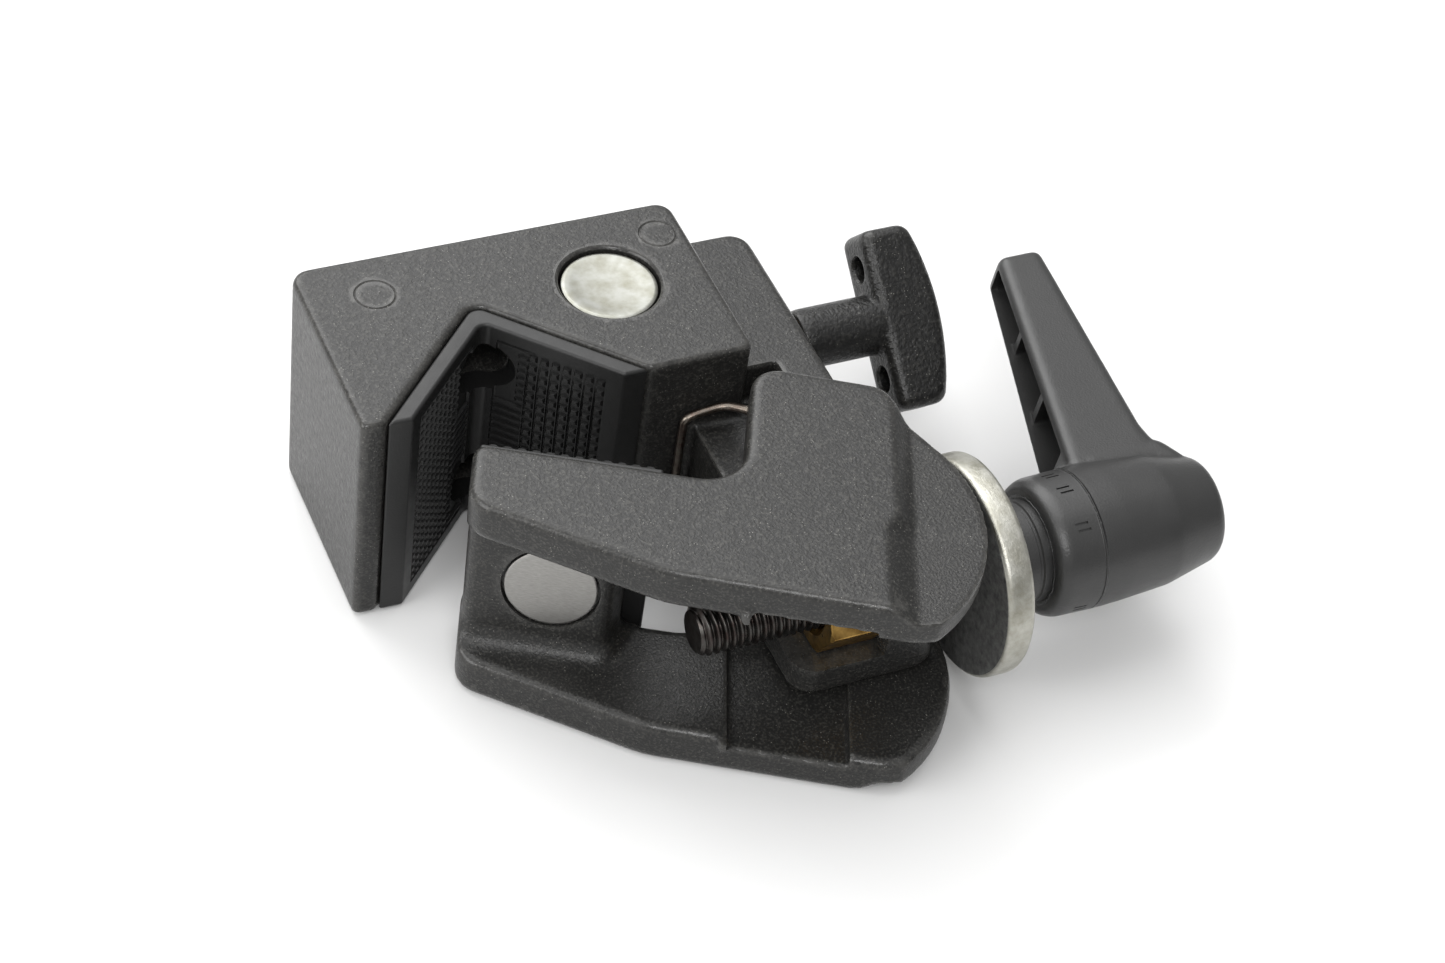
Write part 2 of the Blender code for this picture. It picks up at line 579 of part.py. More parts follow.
def make_handle():
    bore, mouth, floor = CORE_R + 0.4, COLLAR_R + 0.5, CORE_X1 + 0.8
    inside = [(mouth, HUB_X0), (mouth, CORE_X0 - GAP), (bore, CORE_X0 - GAP), (bore, floor),
              (THROAT_R, floor), (THROAT_R, WELL_X0), (WELL_R, WELL_X0)]
    outside = [(WELL_R, HUB_X1 - 0.8), (WELL_R + 0.6, HUB_X1), (7.3, HUB_X1), (8.3, HUB_X1 - 1.0),
               (10.4, 71.0), (HUB_R, 58.0), (10.9, 51.2), (10.2, 50.0), (9.4, HUB_X0)]
    hub = turned("ratchet_handle", outside + inside, y=SCREW_Y, hollow=True, steps=40)
    blade = lever_block("lever_blade", LEVER_ROOT, LEVER_TIP, LEVER_LEFT, LEVER_RIGHT, LEVER_THICK)
    combine(hub, bevel(blade, 1.0, 2), "UNION")
    clear = 0.01
    combine(hub, rod("hub_bore", bore - clear, CORE_X0 - GAP + 0.1, floor - 0.1, y=SCREW_Y))
    combine(hub, rod("hub_well", WELL_R - clear, WELL_X0 + 0.1, HUB_X1 + 1, y=SCREW_Y))
    for ends in LEVER_POCKETS:
        thick = [along_lever(LEVER_THICK, at) - 2 * LEVER_WALL for at in ends]
        right = [along_lever(LEVER_RIGHT, at) - LEVER_WALL - 0.6 for at in ends]
        combine(hub, lever_block("lever_pocket", *ends, (HUB_X0, HUB_X0), right, thick))
    return as_part(hub, BLACK_PLASTIC)


def make_spring_seat():
    seat = ring("spring_seat", THROAT_R - 0.4, WELL_R - 0.6, SEAT_X0, SEAT_X1, y=SCREW_Y, sides=24)
    return as_part(seat, ZINC)


def make_handle_spring():
    per_turn, turns, radius, wire_r = 10, 4, 3.7, 0.4
    x0 = SEAT_X1 + GAP + wire_r + 0.1
    x1 = HEAD_SCREW_X0 - GAP - wire_r - 0.1
    points = []
    for i in range(per_turn * turns + 1):
        angle = 2 * math.pi * i / per_turn
        x = x0 + (x1 - x0) * i / (per_turn * turns)
        points.append((x, SCREW_Y + radius * math.cos(angle), MID_Z + radius * math.sin(angle)))
    return wire("handle_spring", points, wire_r, SPRING_STEEL)


def make_retaining_screw():
    head_r, shaft_r, end = 4.7, TAPPED_R - 0.4, TAPPED_X0 + 1.7
    profile = [(0, HEAD_SCREW_X1), (head_r - 0.4, HEAD_SCREW_X1), (head_r, HEAD_SCREW_X1 - 0.4),
               (head_r, HEAD_SCREW_X0), (shaft_r, HEAD_SCREW_X0), (shaft_r, end), (0, end)]
    screw = turned("retaining_screw", profile, y=SCREW_Y, steps=24)
    low = (HEAD_SCREW_X1 - 1.2, SCREW_Y - 6, MID_Z - 0.6)
    high = (HEAD_SCREW_X1 + 1, SCREW_Y + 6, MID_Z + 0.6)
    combine(screw, box("driver_slot", low, high))
    return as_part(screw, ZINC)


# ---------------------------------------------------------------- locking knob

def knob_bar():
    """Cross bar: flat towards the clamp, domed outwards, with rounded ends."""
    shoulder = KNOB_FACE_X + KNOB_END
    rise = KNOB_TOP_X - shoulder
    dome = (KNOB_HALF ** 2 + rise ** 2) / (2 * rise)
    corners = [(KNOB_FACE_X, KNOB_HALF, 1.8), (KNOB_FACE_X, -KNOB_HALF, 1.8), (shoulder, -KNOB_HALF, 2.2)]
    for i in range(-3, 4):
        y = KNOB_HALF * i / 4
        corners.append((KNOB_TOP_X - dome + math.sqrt(dome ** 2 - y ** 2), y, 0))
    corners.append((shoulder, KNOB_HALF, 2.2))
    bar = slab("knob_bar", outline(corners), -KNOB_WIDE / 2, KNOB_WIDE / 2)
    place(bar, (0, KNOB_Y, MID_Z), (KNOB_ANGLE, 0, 0))
    return bevel(bar, 1.5, 3, 30)


def make_knob():
    neck, band, hole = KNOB_NECK_R, KNOB_NECK_X0 + 1.0, SCREW_R + GAP
    profile = [(0, KNOB_FACE_X + 3), (neck + 0.2, KNOB_FACE_X + 3), (neck, KNOB_FACE_X - 1),
               (neck, band + 0.2), (neck - 0.4, band), (neck - 0.4, KNOB_NECK_X0), (hole, KNOB_NECK_X0),
               (hole, STUD_X1 + GAP), (0, STUD_X1 + GAP)]
    knob = turned("locking_knob", profile, y=KNOB_Y)
    combine(knob, knob_bar(), "UNION")
    for at in (-KNOB_HOLE_AT, KNOB_HOLE_AT):
        y = KNOB_Y + at * math.cos(KNOB_ANGLE)
        z = MID_Z + at * math.sin(KNOB_ANGLE)
        combine(knob, rod("knob_hole", KNOB_HOLE_R, KNOB_FACE_X - 1, KNOB_FACE_X + 5, y=y, z=z, sides=16))
    return as_part(knob, BLACK_PAINT)


def make_knob_stud():
    dimple = 1.6
    profile = [(0, STUD_X1), (SCREW_R, STUD_X1), (SCREW_R, STUD_X0 + 0.6), (SCREW_R - 0.6, STUD_X0),
               (dimple, STUD_X0), (dimple, STUD_X0 + 3), (0, STUD_X0 + 3)]
    return as_part(turned("knob_stud", profile, y=KNOB_Y), DARK_STEEL)


def make_knob_tip():
    peg, face = 1.3, 3.3
    profile = [(0, STUD_X0 + 2.6), (peg, STUD_X0 + 2.6), (peg, STUD_X0 - GAP), (face, STUD_X0 - GAP),
               (face, TIP_X0 + 0.4), (face - 0.4, TIP_X0), (0, TIP_X0)]
    return as_part(turned("knob_tip", profile, y=KNOB_Y, steps=24), BRASS)


def make_knob_insert():
    insert = ring("knob_insert", SCREW_R + GAP, INSERT_R, INSERT_X0 + GAP, SHANK_RIGHT - 0.4, y=KNOB_Y)
    return as_part(insert, BRASS)


make_jaw_casting()
make_socket_plug()
make_fixed_pad()
make_arm_casting()
make_arm_pad()
as_part(badge_shape("arm_badge", BADGE_R, -0.6, 0.1), BRIGHT_METAL)
make_pivot_bolt()
make_pivot_bush()
make_torsion_spring()
make_clamp_nut()
make_clamp_screw()
make_pressure_washer()
make_thrust_collar()
make_ratchet_core()
make_handle()
make_spring_seat()
make_handle_spring()
make_retaining_screw()
make_knob()
make_knob_stud()
make_knob_tip()
make_knob_insert()
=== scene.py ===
"""Super clamp lying on a white studio floor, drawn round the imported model.

Lengths are millimetres from the stud socket's axis and from the castings' lower face,
as in the part's source; HOME moves them into the row frame.
"""
import math

import bmesh
import bpy
from mathutils import Euler, Matrix, Vector


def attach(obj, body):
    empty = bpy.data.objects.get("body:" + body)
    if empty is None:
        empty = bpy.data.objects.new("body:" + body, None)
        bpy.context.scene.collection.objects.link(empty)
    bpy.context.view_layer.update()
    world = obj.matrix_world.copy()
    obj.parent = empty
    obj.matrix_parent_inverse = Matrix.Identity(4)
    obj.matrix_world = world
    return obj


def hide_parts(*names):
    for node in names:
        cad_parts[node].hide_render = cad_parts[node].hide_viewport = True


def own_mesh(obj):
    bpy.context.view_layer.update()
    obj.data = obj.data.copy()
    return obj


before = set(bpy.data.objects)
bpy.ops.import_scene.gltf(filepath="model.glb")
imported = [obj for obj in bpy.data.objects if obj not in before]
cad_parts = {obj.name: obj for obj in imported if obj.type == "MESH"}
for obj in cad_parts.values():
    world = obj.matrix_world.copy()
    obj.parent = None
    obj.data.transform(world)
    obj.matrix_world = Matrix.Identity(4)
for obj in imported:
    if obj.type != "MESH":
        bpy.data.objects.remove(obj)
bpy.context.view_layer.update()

MM = 0.001
HOME = Matrix.Translation((-16.95 * MM, 30.92 * MM, 0))
BODY_H = 41.0
MID_Z = BODY_H / 2
EDGE = 1.2

HEAD_LEFT, HEAD_RIGHT = -46.5, 16.0
HEAD_BACK, HEAD_FRONT = 15.6, -19.5
V_X, V_APEX_Y = -22.0, 1.4
PEG_HOLE_R = 4.6
PEG_HOLE_Z = (MID_Z + 11.8, MID_Z - 11.8)

SHANK_Z0, SHANK_Z1 = 7.6, 33.4
SHANK_RIGHT, SHANK_BACK = 29.4, 13.5
YOKE_LEFT, YOKE_RIGHT, YOKE_FRONT = 8.6, 33.2, -61.4
CORE_Z0, CORE_Z1 = 14.8, 26.2

PIVOT = (18.95, -38.1)
ARM_ANGLE = math.radians(-23.3)
FLANGE = 7.2
JAW_TIP, JAW_VALLEY = (-51.2, -9.8), (-11.9, -13.0)
LOBE_MIDDLE, LOBE_R = (-1.0, -17.7), 25.1
LOBE_STEP = 2.6

SCREW_Y, SCREW_R, PITCH = -54.1, 4.0, 1.25
NUT_X = 17.5
KNOB_Y = -1.0
KNOB_ANGLE = math.radians(40.0)
KNOB_HOLES = (-9.2, 9.2)
LEVER_ANGLE = math.radians(8.0)
LEVER_START, LEVER_END = 5.0, 53.0

CAMERA_AT = (-170.73, -278.52, 348.16)
CAMERA_TURN = (44.4994, -6.7323, -23.3)
CAMERA_LENS = 74.74
FLOOR_HALF = 3.0
FLOOR_Z = -0.0002

SCENE = bpy.context.scene
SCENE.view_settings.view_transform = "Standard"
TOOLS = []


# ---------------------------------------------------------------- camera, floor and light

def make_camera():
    data = bpy.data.cameras.new("camera")
    data.lens = CAMERA_LENS
    data.sensor_width = 36.0
    data.sensor_fit = "HORIZONTAL"
    data.clip_start, data.clip_end = 0.01, 20
    cam = bpy.data.objects.new("camera", data)
    angles = Euler([math.radians(a) for a in CAMERA_TURN])
    cam.matrix_world = Matrix.LocRotScale(Vector(CAMERA_AT) * MM, angles, None)
    SCENE.collection.objects.link(cam)
    SCENE.camera = cam


def area_light(name, at, target, width, height, power):
    """Soft box; places in metres."""
    data = bpy.data.lights.new(name, "AREA")
    data.shape = "RECTANGLE"
    data.size, data.size_y = width, height
    data.energy = power
    light = bpy.data.objects.new(name, data)
    light.location = at
    light.rotation_euler = (Vector(target) - Vector(at)).to_track_quat("-Z", "Y").to_euler()
    SCENE.collection.objects.link(light)


def make_studio():
    world = bpy.data.worlds.new("studio")
    world.use_nodes = True
    nodes, links = world.node_tree.nodes, world.node_tree.links
    facing = nodes.new("ShaderNodeVectorMath")
    facing.operation = "DOT_PRODUCT"
    facing.inputs[1].default_value = Vector((-0.4, 0.15, 0.9)).normalized()
    links.new(nodes.new("ShaderNodeTexCoord").outputs["Generated"], facing.inputs[0])
    strength = nodes.new("ShaderNodeMapRange")
    strength.inputs["From Min"].default_value = -0.25
    strength.inputs["From Max"].default_value = 0.9
    strength.inputs["To Min"].default_value = 0.3
    strength.inputs["To Max"].default_value = 1.05
    links.new(facing.outputs["Value"], strength.inputs["Value"])
    links.new(strength.outputs["Result"], nodes["Background"].inputs["Strength"])
    nodes["Background"].inputs["Color"].default_value = (1, 1, 1, 1)
    SCENE.world = world
    mesh = bpy.data.meshes.new("floor")
    work = bmesh.new()
    bmesh.ops.create_grid(work, x_segments=1, y_segments=1, size=FLOOR_HALF)
    work.to_mesh(mesh)
    work.free()
    floor = bpy.data.objects.new("floor", mesh)
    floor.location = (0, 0, FLOOR_Z)
    SCENE.collection.objects.link(floor)
    mat = bpy.data.materials.new("floor_white")
    mat.use_nodes = True
    shader = mat.node_tree.nodes["Principled BSDF"]
    shader.inputs["Base Color"].default_value = (0.61, 0.61, 0.608, 1)
    shader.inputs["Roughness"].default_value = 0.8
    shader.inputs["Specular IOR Level"].default_value = 0.1
    mesh.materials.append(mat)
    area_light("key", (0.0, 0.4, 1.3), (0, 0, 0), 1.3, 1.1, 11)
    area_light("fill", (-1.1, -0.1, 0.65), (0, 0, 0), 0.9, 0.7, 9)
    area_light("front", (-0.3, -0.7, 0.9), (0, 0, 0), 0.4, 0.4, 5)
    area_light("back", (-0.1, 1.1, 0.95), (0, 0, 0), 1.3, 0.9, 13)


# ---------------------------------------------------------------- shapes

def mesh_object(name, mesh):
    obj = bpy.data.objects.new(name, mesh)
    SCENE.collection.objects.link(obj)
    return place(obj)


def place(obj, location=(0, 0, 0), rotation=(0, 0, 0)):
    obj.matrix_world = HOME @ Matrix.LocRotScale(Vector(location) * MM, Euler(rotation), None)
    return obj


def bevel(obj, width, segments=4, angle=40):
    mod = obj.modifiers.new("rounding", "BEVEL")
    mod.width = width * MM
    mod.segments = segments
    mod.limit_method = "ANGLE"
    mod.angle_limit = math.radians(angle)
    return obj


def combine(obj, tool, operation="DIFFERENCE"):
    mod = obj.modifiers.new(tool.name, "BOOLEAN")
    mod.operation = operation
    mod.solver = "EXACT"
    mod.object = tool
    TOOLS.append(tool)
    return obj


def melt(obj, voxel, rounds, keep=1.0):
    """Fuses a solid's pieces and softens every corner, as a moulding's are."""
    mod = obj.modifiers.new("voxels", "REMESH")
    mod.mode = "VOXEL"
    mod.voxel_size = voxel * MM
    if rounds:
        mod = obj.modifiers.new("softening", "SMOOTH")
        mod.factor = 0.5
        mod.iterations = rounds
    if keep < 1:
        mod = obj.modifiers.new("thinning", "DECIMATE")
        mod.ratio = keep
    return obj


def fuse(obj, *others):
    """Puts other closed solids into the same mesh; melt() then makes one skin of them."""
    bpy.context.view_layer.update()
    graph = bpy.context.evaluated_depsgraph_get()
    work = bmesh.new()
    for source in (obj, *others):
        mesh = bpy.data.meshes.new_from_object(source.evaluated_get(graph))
        mesh.transform(obj.matrix_world.inverted() @ source.matrix_world)
        work.from_mesh(mesh)
        bpy.data.meshes.remove(mesh)
    obj.modifiers.clear()
    work.to_mesh(obj.data)
    work.free()
    for source in others:
        bpy.data.objects.remove(source)
    for tool in TOOLS:
        bpy.data.objects.remove(tool)
    TOOLS.clear()
    return obj


def cut_all(obj, *tools):
    """Cuts several tools out of a body at once."""
    group = bpy.data.collections.new("cutters")
    for tool in tools:
        group.objects.link(tool)
        TOOLS.append(tool)
    mod = obj.modifiers.new("cuts", "BOOLEAN")
    mod.operand_type = "COLLECTION"
    mod.collection = group
    mod.solver = "EXACT"
    return obj


def settle(obj):
    """Turns the object into its final mesh, with its place in the mesh and its tools gone."""
    bpy.context.view_layer.update()
    seen = obj.evaluated_get(bpy.context.evaluated_depsgraph_get())
    mesh = bpy.data.meshes.new_from_object(seen)
    mesh.transform(obj.matrix_world)
    obj.modifiers.clear()
    old = obj.data
    if obj.type == "CURVE":
        name = obj.name
        bpy.data.objects.remove(obj)
        obj = bpy.data.objects.new(name, mesh)
        SCENE.collection.objects.link(obj)
    else:
        obj.data = mesh
        bpy.data.meshes.remove(old)
    obj.matrix_world = Matrix()
    for tool in TOOLS:
        bpy.data.objects.remove(tool)
    TOOLS.clear()
    for group in [c for c in bpy.data.collections if c.name.startswith("cutters")]:
        bpy.data.collections.remove(group)
    return obj


def piece(obj, mat, body, *nodes, angle=32, flat=True):
    """Finished piece: one material, smooth shading broken at sharp edges, riding on its body."""
    obj = settle(obj)
    obj.data.materials.clear()
    obj.data.materials.append(mat)
    for polygon in obj.data.polygons:
        polygon.use_smooth = True
    obj.data.set_sharp_from_angle(angle=math.radians(angle))
    if flat:
        mod = obj.modifiers.new("normals", "WEIGHTED_NORMAL")
        mod.keep_sharp = True
        mod.weight = 80
    if nodes:
        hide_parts(*nodes)
    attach(obj, body)
    return obj


def fillet(before, corner, after, radius):
    """Points of the arc that rounds a corner, nine degrees apart."""
    corner = Vector(corner)
    if radius <= 0:
        return [tuple(corner)]
    back = (Vector(before) - corner).normalized()
    ahead = (Vector(after) - corner).normalized()
    half = back.angle(ahead) / 2
    middle = corner + (back + ahead).normalized() * (radius / math.sin(half))
    first = corner + back * (radius / math.tan(half)) - middle
    last = corner + ahead * (radius / math.tan(half)) - middle
    turn = first.angle_signed(last)
    count = max(1, round(abs(math.degrees(turn)) / 9))
    return [tuple(middle + Matrix.Rotation(-turn * i / count, 2) @ first) for i in range(count + 1)]


def outline(corners):
    """Closed outline through (x, y, radius) corners."""
    points = []
    for i, corner in enumerate(corners):
        before, after = corners[i - 1], corners[(i + 1) % len(corners)]
        points += fillet(before[:2], corner[:2], after[:2], corner[2])
    return points


def slab(name, points, z0, z1):
    """Flat plate of the given outline between two heights."""
    curve = bpy.data.curves.new(name, "CURVE")
    curve.dimensions = "2D"
    curve.fill_mode = "BOTH"
    curve.extrude = (z1 - z0) / 2 * MM
    spline = curve.splines.new("POLY")
    spline.points.add(len(points) - 1)
    for point, (x, y) in zip(spline.points, points):
        point.co = (x * MM, y * MM, 0, 1)
    spline.use_cyclic_u = True
    flat = bpy.data.objects.new(name, curve)
    SCENE.collection.objects.link(flat)
    bpy.context.view_layer.update()
    graph = bpy.context.evaluated_depsgraph_get()
    mesh = bpy.data.meshes.new_from_object(flat.evaluated_get(graph))
    bpy.data.objects.remove(flat)
    work = bmesh.new()
    work.from_mesh(mesh)
    bmesh.ops.remove_doubles(work, verts=work.verts, dist=1e-6)
    bmesh.ops.translate(work, verts=work.verts, vec=(0, 0, (z0 + z1) / 2 * MM))
    bmesh.ops.recalc_face_normals(work, faces=work.faces)
    bmesh.ops.dissolve_limit(work, angle_limit=0.01, verts=work.verts, edges=work.edges)
    work.to_mesh(mesh)
    work.free()
    return mesh_object(name, mesh)


def turned(name, profile, x=0.0, y=0.0, z=MID_Z, hollow=False, steps=72, along="X"):
    """Solid of revolution from (radius, distance) points that run from the far end to the near end."""
    mesh = bpy.data.meshes.new(name)
    edges = [(i, i + 1) for i in range(len(profile) - 1)]
    if hollow:
        edges.append((len(profile) - 1, 0))
    mesh.from_pydata([(radius * MM, 0, distance * MM) for radius, distance in profile], edges, [])
    obj = mesh_object(name, mesh)
    mod = obj.modifiers.new("turning", "SCREW")
    mod.steps = mod.render_steps = steps
    mod.use_merge_vertices = True
    mod.merge_threshold = 1e-6
    mod.use_smooth_shade = True
    return place(obj, (x, y, z), (0, math.pi / 2, 0) if along == "X" else (0, 0, 0))


def rod(name, radius, start, end, x=0.0, y=0.0, z=MID_Z, along="X", steps=48):
    profile = [(0, end), (radius, end), (radius, start), (0, start)]
    return turned(name, profile, x, y, z, steps=steps, along=along)


def box(name, low, high):
    mesh = bpy.data.meshes.new(name)
    work = bmesh.new()
    bmesh.ops.create_cube(work, size=1)
    for vert in work.verts:
        vert.co = [(low[i] if vert.co[i] < 0 else high[i]) * MM for i in range(3)]
    work.to_mesh(mesh)
    work.free()
    return mesh_object(name, mesh)


def prism(name, sides, across_flats, start, end):
    mesh = bpy.data.meshes.new(name)
    work = bmesh.new()
    radius = across_flats / 2 / math.cos(math.pi / sides) * MM
    middle = Matrix.Translation((0, 0, (start + end) / 2 * MM))
    bmesh.ops.create_cone(work, cap_ends=True, segments=sides, radius1=radius, radius2=radius,
                          depth=(end - start) * MM, matrix=middle)
    work.to_mesh(mesh)
    work.free()
    return mesh_object(name, mesh)


def rounded(points, rounds):
    """Cuts the corners off an open path, over and over, so that it runs smoothly."""
    for _ in range(rounds):
        path = [points[0]]
        for a, b in zip(points, points[1:]):
            a, b = Vector(a), Vector(b)
            path += [a.lerp(b, 0.25), a.lerp(b, 0.75)]
        points = path + [points[-1]]
    return points


def wire(name, points, radius):
    curve = bpy.data.curves.new(name, "CURVE")
    curve.dimensions = "3D"
    curve.bevel_depth = radius * MM
    curve.bevel_resolution = 4
    curve.use_fill_caps = True
    spline = curve.splines.new("POLY")
    spline.points.add(len(points) - 1)
    for point, co in zip(spline.points, points):
        point.co = (*(Vector(co) * MM), 1)
    obj = bpy.data.objects.new(name, curve)
    SCENE.collection.objects.link(obj)
    return place(obj)


# ---------------------------------------------------------------- materials

class Nodes:
    """Small helper round one material's node tree; texture coordinates are millimetres on the piece."""

    def __init__(self, name, color, roughness, metallic=0.0, specular=0.5):
        self.mat = bpy.data.materials.new(name)
        self.mat.use_nodes = True
        self.tree = self.mat.node_tree
        self.shader = self.tree.nodes["Principled BSDF"]
        self.shader.inputs["Base Color"].default_value = (*color, 1)
        self.shader.inputs["Roughness"].default_value = roughness
        self.shader.inputs["Metallic"].default_value = metallic
        self.shader.inputs["Specular IOR Level"].default_value = specular
        self.coords = self.add("ShaderNodeTexCoord").outputs["Object"]

    def add(self, kind, **settings):
        node = self.tree.nodes.new(kind)
        for key, value in settings.items():
            setattr(node, key, value)
        return node

    def link(self, a, b):
        self.tree.links.new(a, b)

    def stretched(self, scale):
        node = self.add("ShaderNodeMapping")
        node.inputs["Scale"].default_value = [1000 * s for s in scale]
        self.link(self.coords, node.inputs["Vector"])
        return node.outputs["Vector"]

    def noise(self, scale, detail=3.0, rough=0.55, stretch=(1, 1, 1), distortion=0.0):
        node = self.add("ShaderNodeTexNoise")
        node.inputs["Scale"].default_value = scale
        node.inputs["Detail"].default_value = detail
        node.inputs["Roughness"].default_value = rough
        node.inputs["Distortion"].default_value = distortion
        self.link(self.stretched(stretch), node.inputs["Vector"])
        return node.outputs["Fac"]

    def spots(self, scale, size):
        """1 inside small scattered grains, 0 elsewhere."""
        node = self.add("ShaderNodeTexVoronoi")
        node.inputs["Scale"].default_value = scale
        self.link(self.stretched((1, 1, 1)), node.inputs["Vector"])
        return self.ramp(node.outputs["Distance"], size, size * 0.6)

    def ramp(self, value, at0, at1):
        node = self.add("ShaderNodeMapRange")
        node.inputs["From Min"].default_value = at0
        node.inputs["From Max"].default_value = at1
        self.link(value, node.inputs["Value"])
        return node.outputs["Result"]

    def math(self, operation, a, b):
        node = self.add("ShaderNodeMath", operation=operation)
        for socket, value in zip(node.inputs, (a, b)):
            if isinstance(value, (int, float)):
                socket.default_value = value
            else:
                self.link(value, socket)
        return node.outputs[0]

    def mix(self, factor, a, b):
        node = self.add("ShaderNodeMix", data_type="RGBA")
        self.link(factor, node.inputs["Factor"])
        for socket, value in ((node.inputs[6], a), (node.inputs[7], b)):
            if isinstance(value, tuple):
                socket.default_value = (*value, 1)
            else:
                self.link(value, socket)
        return node.outputs[2]

    def color(self, output):
        self.link(output, self.shader.inputs["Base Color"])

    def roughness(self, value, low, high):
        node = self.add("ShaderNodeMapRange")
        node.inputs["To Min"].default_value = low
        node.inputs["To Max"].default_value = high
        self.link(value, node.inputs["Value"])
        self.link(node.outputs["Result"], self.shader.inputs["Roughness"])

    def bump(self, *layers):
        """Each layer is (height output, strength, depth in mm)."""
        normal = None
        for height, strength, depth in layers:
            node = self.add("ShaderNodeBump")
            node.inputs["Strength"].default_value = strength
            node.inputs["Distance"].default_value = depth * MM
            self.link(height, node.inputs["Height"])
            if normal is not None:
                self.link(normal, node.inputs["Normal"])
            normal = node.outputs["Normal"]
        self.link(normal, self.shader.inputs["Normal"])


def powder_paint(name, grain=2.5, depth=0.09, base=0.011, specular=0.36):
    """Textured powder coat: small round grains whose tops are painted paler as painted glints, pale dust in
    them, and polished edges painted lighter, partly as slight wear and partly as a painted highlight.
    """
    m = Nodes(name, (base, base, base), 0.4, specular=specular)
    dark = (base * 0.8, base * 0.79, base * 0.76)
    pale = (base * 1.2, base * 1.18, base * 1.12)
    tone = m.mix(m.noise(0.12, 2), dark, pale)
    fine = m.noise(grain, 2, 0.5)
    # Raised grains are painted paler: painted glints on the grains.
    tone = m.mix(m.ramp(fine, 0.50, 0.70), tone, (base * 3.4, base * 3.3, base * 3.0))
    dust = m.math("MULTIPLY", m.spots(1.9, 0.15), m.ramp(m.noise(0.4, 3), 0.47, 0.6))
    tone = m.mix(m.math("MULTIPLY", dust, 0.7), tone, (0.32, 0.31, 0.28))
    edge = m.ramp(m.add("ShaderNodeNewGeometry").outputs["Pointiness"], 0.506, 0.526)
    # Edges are painted lighter: partly slight wear, partly a painted highlight along the rims.
    edge_wear_and_highlight = m.math("MULTIPLY", edge, m.ramp(m.noise(0.5, 4), 0.3, 0.6))
    m.color(m.mix(m.math("MULTIPLY", edge_wear_and_highlight, 0.35), tone, (0.08, 0.078, 0.073)))
    polish = m.math("MULTIPLY", edge, 0.55)
    m.roughness(m.math("SUBTRACT", m.noise(0.9, 3), polish), 0.24, 0.52)
    calm = m.math("SUBTRACT", 1.0, m.math("MULTIPLY", edge, 0.8))
    m.bump((m.math("MULTIPLY", fine, calm), 1.0, depth), (m.noise(0.55, 2), 0.35, 0.14))
    return m.mat


def moulded_plastic(name, base, rough, grain, depth, specular=0.4):
    m = Nodes(name, (base, base, base), rough, specular=specular)
    m.color(m.mix(m.noise(0.15, 2), (base * 0.85,) * 3, (base * 1.2, base * 1.2, base * 1.18)))
    m.roughness(m.noise(0.5, 4), rough - 0.07, rough + 0.1)
    m.bump((m.noise(grain, 2), 0.7, depth), (m.noise(0.2, 1), 0.15, 0.1))
    return m.mat


def zinc(name):
    m = Nodes(name, (0.72, 0.7, 0.62), 0.33, 1.0)
    stain = m.ramp(m.noise(0.3, 5, 0.65), 0.35, 0.7)
    m.color(m.mix(stain, (0.47, 0.465, 0.425), (0.27, 0.262, 0.215)))
    m.roughness(m.noise(0.8, 5), 0.3, 0.52)
    m.bump((m.noise(1.3, 5, 0.7), 0.8, 0.1), (m.noise(0.5, 2, stretch=(9, 0.6, 0.6)), 0.3, 0.04))
    return m.mat


def dark_zinc(name):
    m = Nodes(name, (0.12, 0.12, 0.115), 0.5, 0.7)
    m.color(m.mix(m.ramp(m.noise(0.7, 6, 0.7), 0.3, 0.7), (0.055, 0.056, 0.055), (0.18, 0.18, 0.174)))
    m.roughness(m.noise(0.6, 4), 0.35, 0.65)
    m.bump((m.noise(0.9, 5, 0.7), 0.5, 0.08),)
    return m.mat


def bright_metal(name):
    m = Nodes(name, (0.80, 0.79, 0.76), 0.28, 1.0)
    m.color(m.mix(m.ramp(m.noise(0.4, 4), 0.35, 0.75), (0.27, 0.273, 0.252), (0.18, 0.177, 0.143)))
    m.roughness(m.noise(1.4, 3), 0.3, 0.48)
    m.bump((m.noise(1.0, 4), 0.2, 0.03),)
    return m.mat


def brushed(name):
    m = Nodes(name, (0.62, 0.61, 0.58), 0.34, 1.0)
    m.color(m.mix(m.noise(1.2, 3, stretch=(1, 1, 8)), (0.20, 0.195, 0.185), (0.42, 0.412, 0.395)))
    m.roughness(m.noise(1.0, 2, stretch=(1, 1, 6)), 0.28, 0.45)
    m.bump((m.noise(1.2, 3, stretch=(1, 1, 9)), 0.25, 0.02),)
    return m.mat


def oily_steel(name, base, warm=0.0):
    m = Nodes(name, base, 0.32, 1.0)
    dirt = m.ramp(m.noise(0.7, 4, 0.6), 0.4, 0.7)
    m.color(m.mix(dirt, base, (base[0] * 0.45 + warm, base[1] * 0.42, base[2] * 0.4)))
    m.roughness(m.noise(1.2, 3), 0.2, 0.5)
    m.bump((m.noise(2.0, 3), 0.2, 0.02),)
    return m.mat


def brass(name):
    m = Nodes(name, (0.55, 0.36, 0.13), 0.3, 1.0)
    m.color(m.mix(m.ramp(m.noise(0.35, 4, 0.6), 0.4, 0.7), (0.46, 0.285, 0.085), (0.15, 0.082, 0.022)))
    m.roughness(m.noise(1.0, 4), 0.2, 0.45)
    m.bump((m.noise(0.8, 3, stretch=(4, 1, 1)), 0.2, 0.03),)
    return m.mat


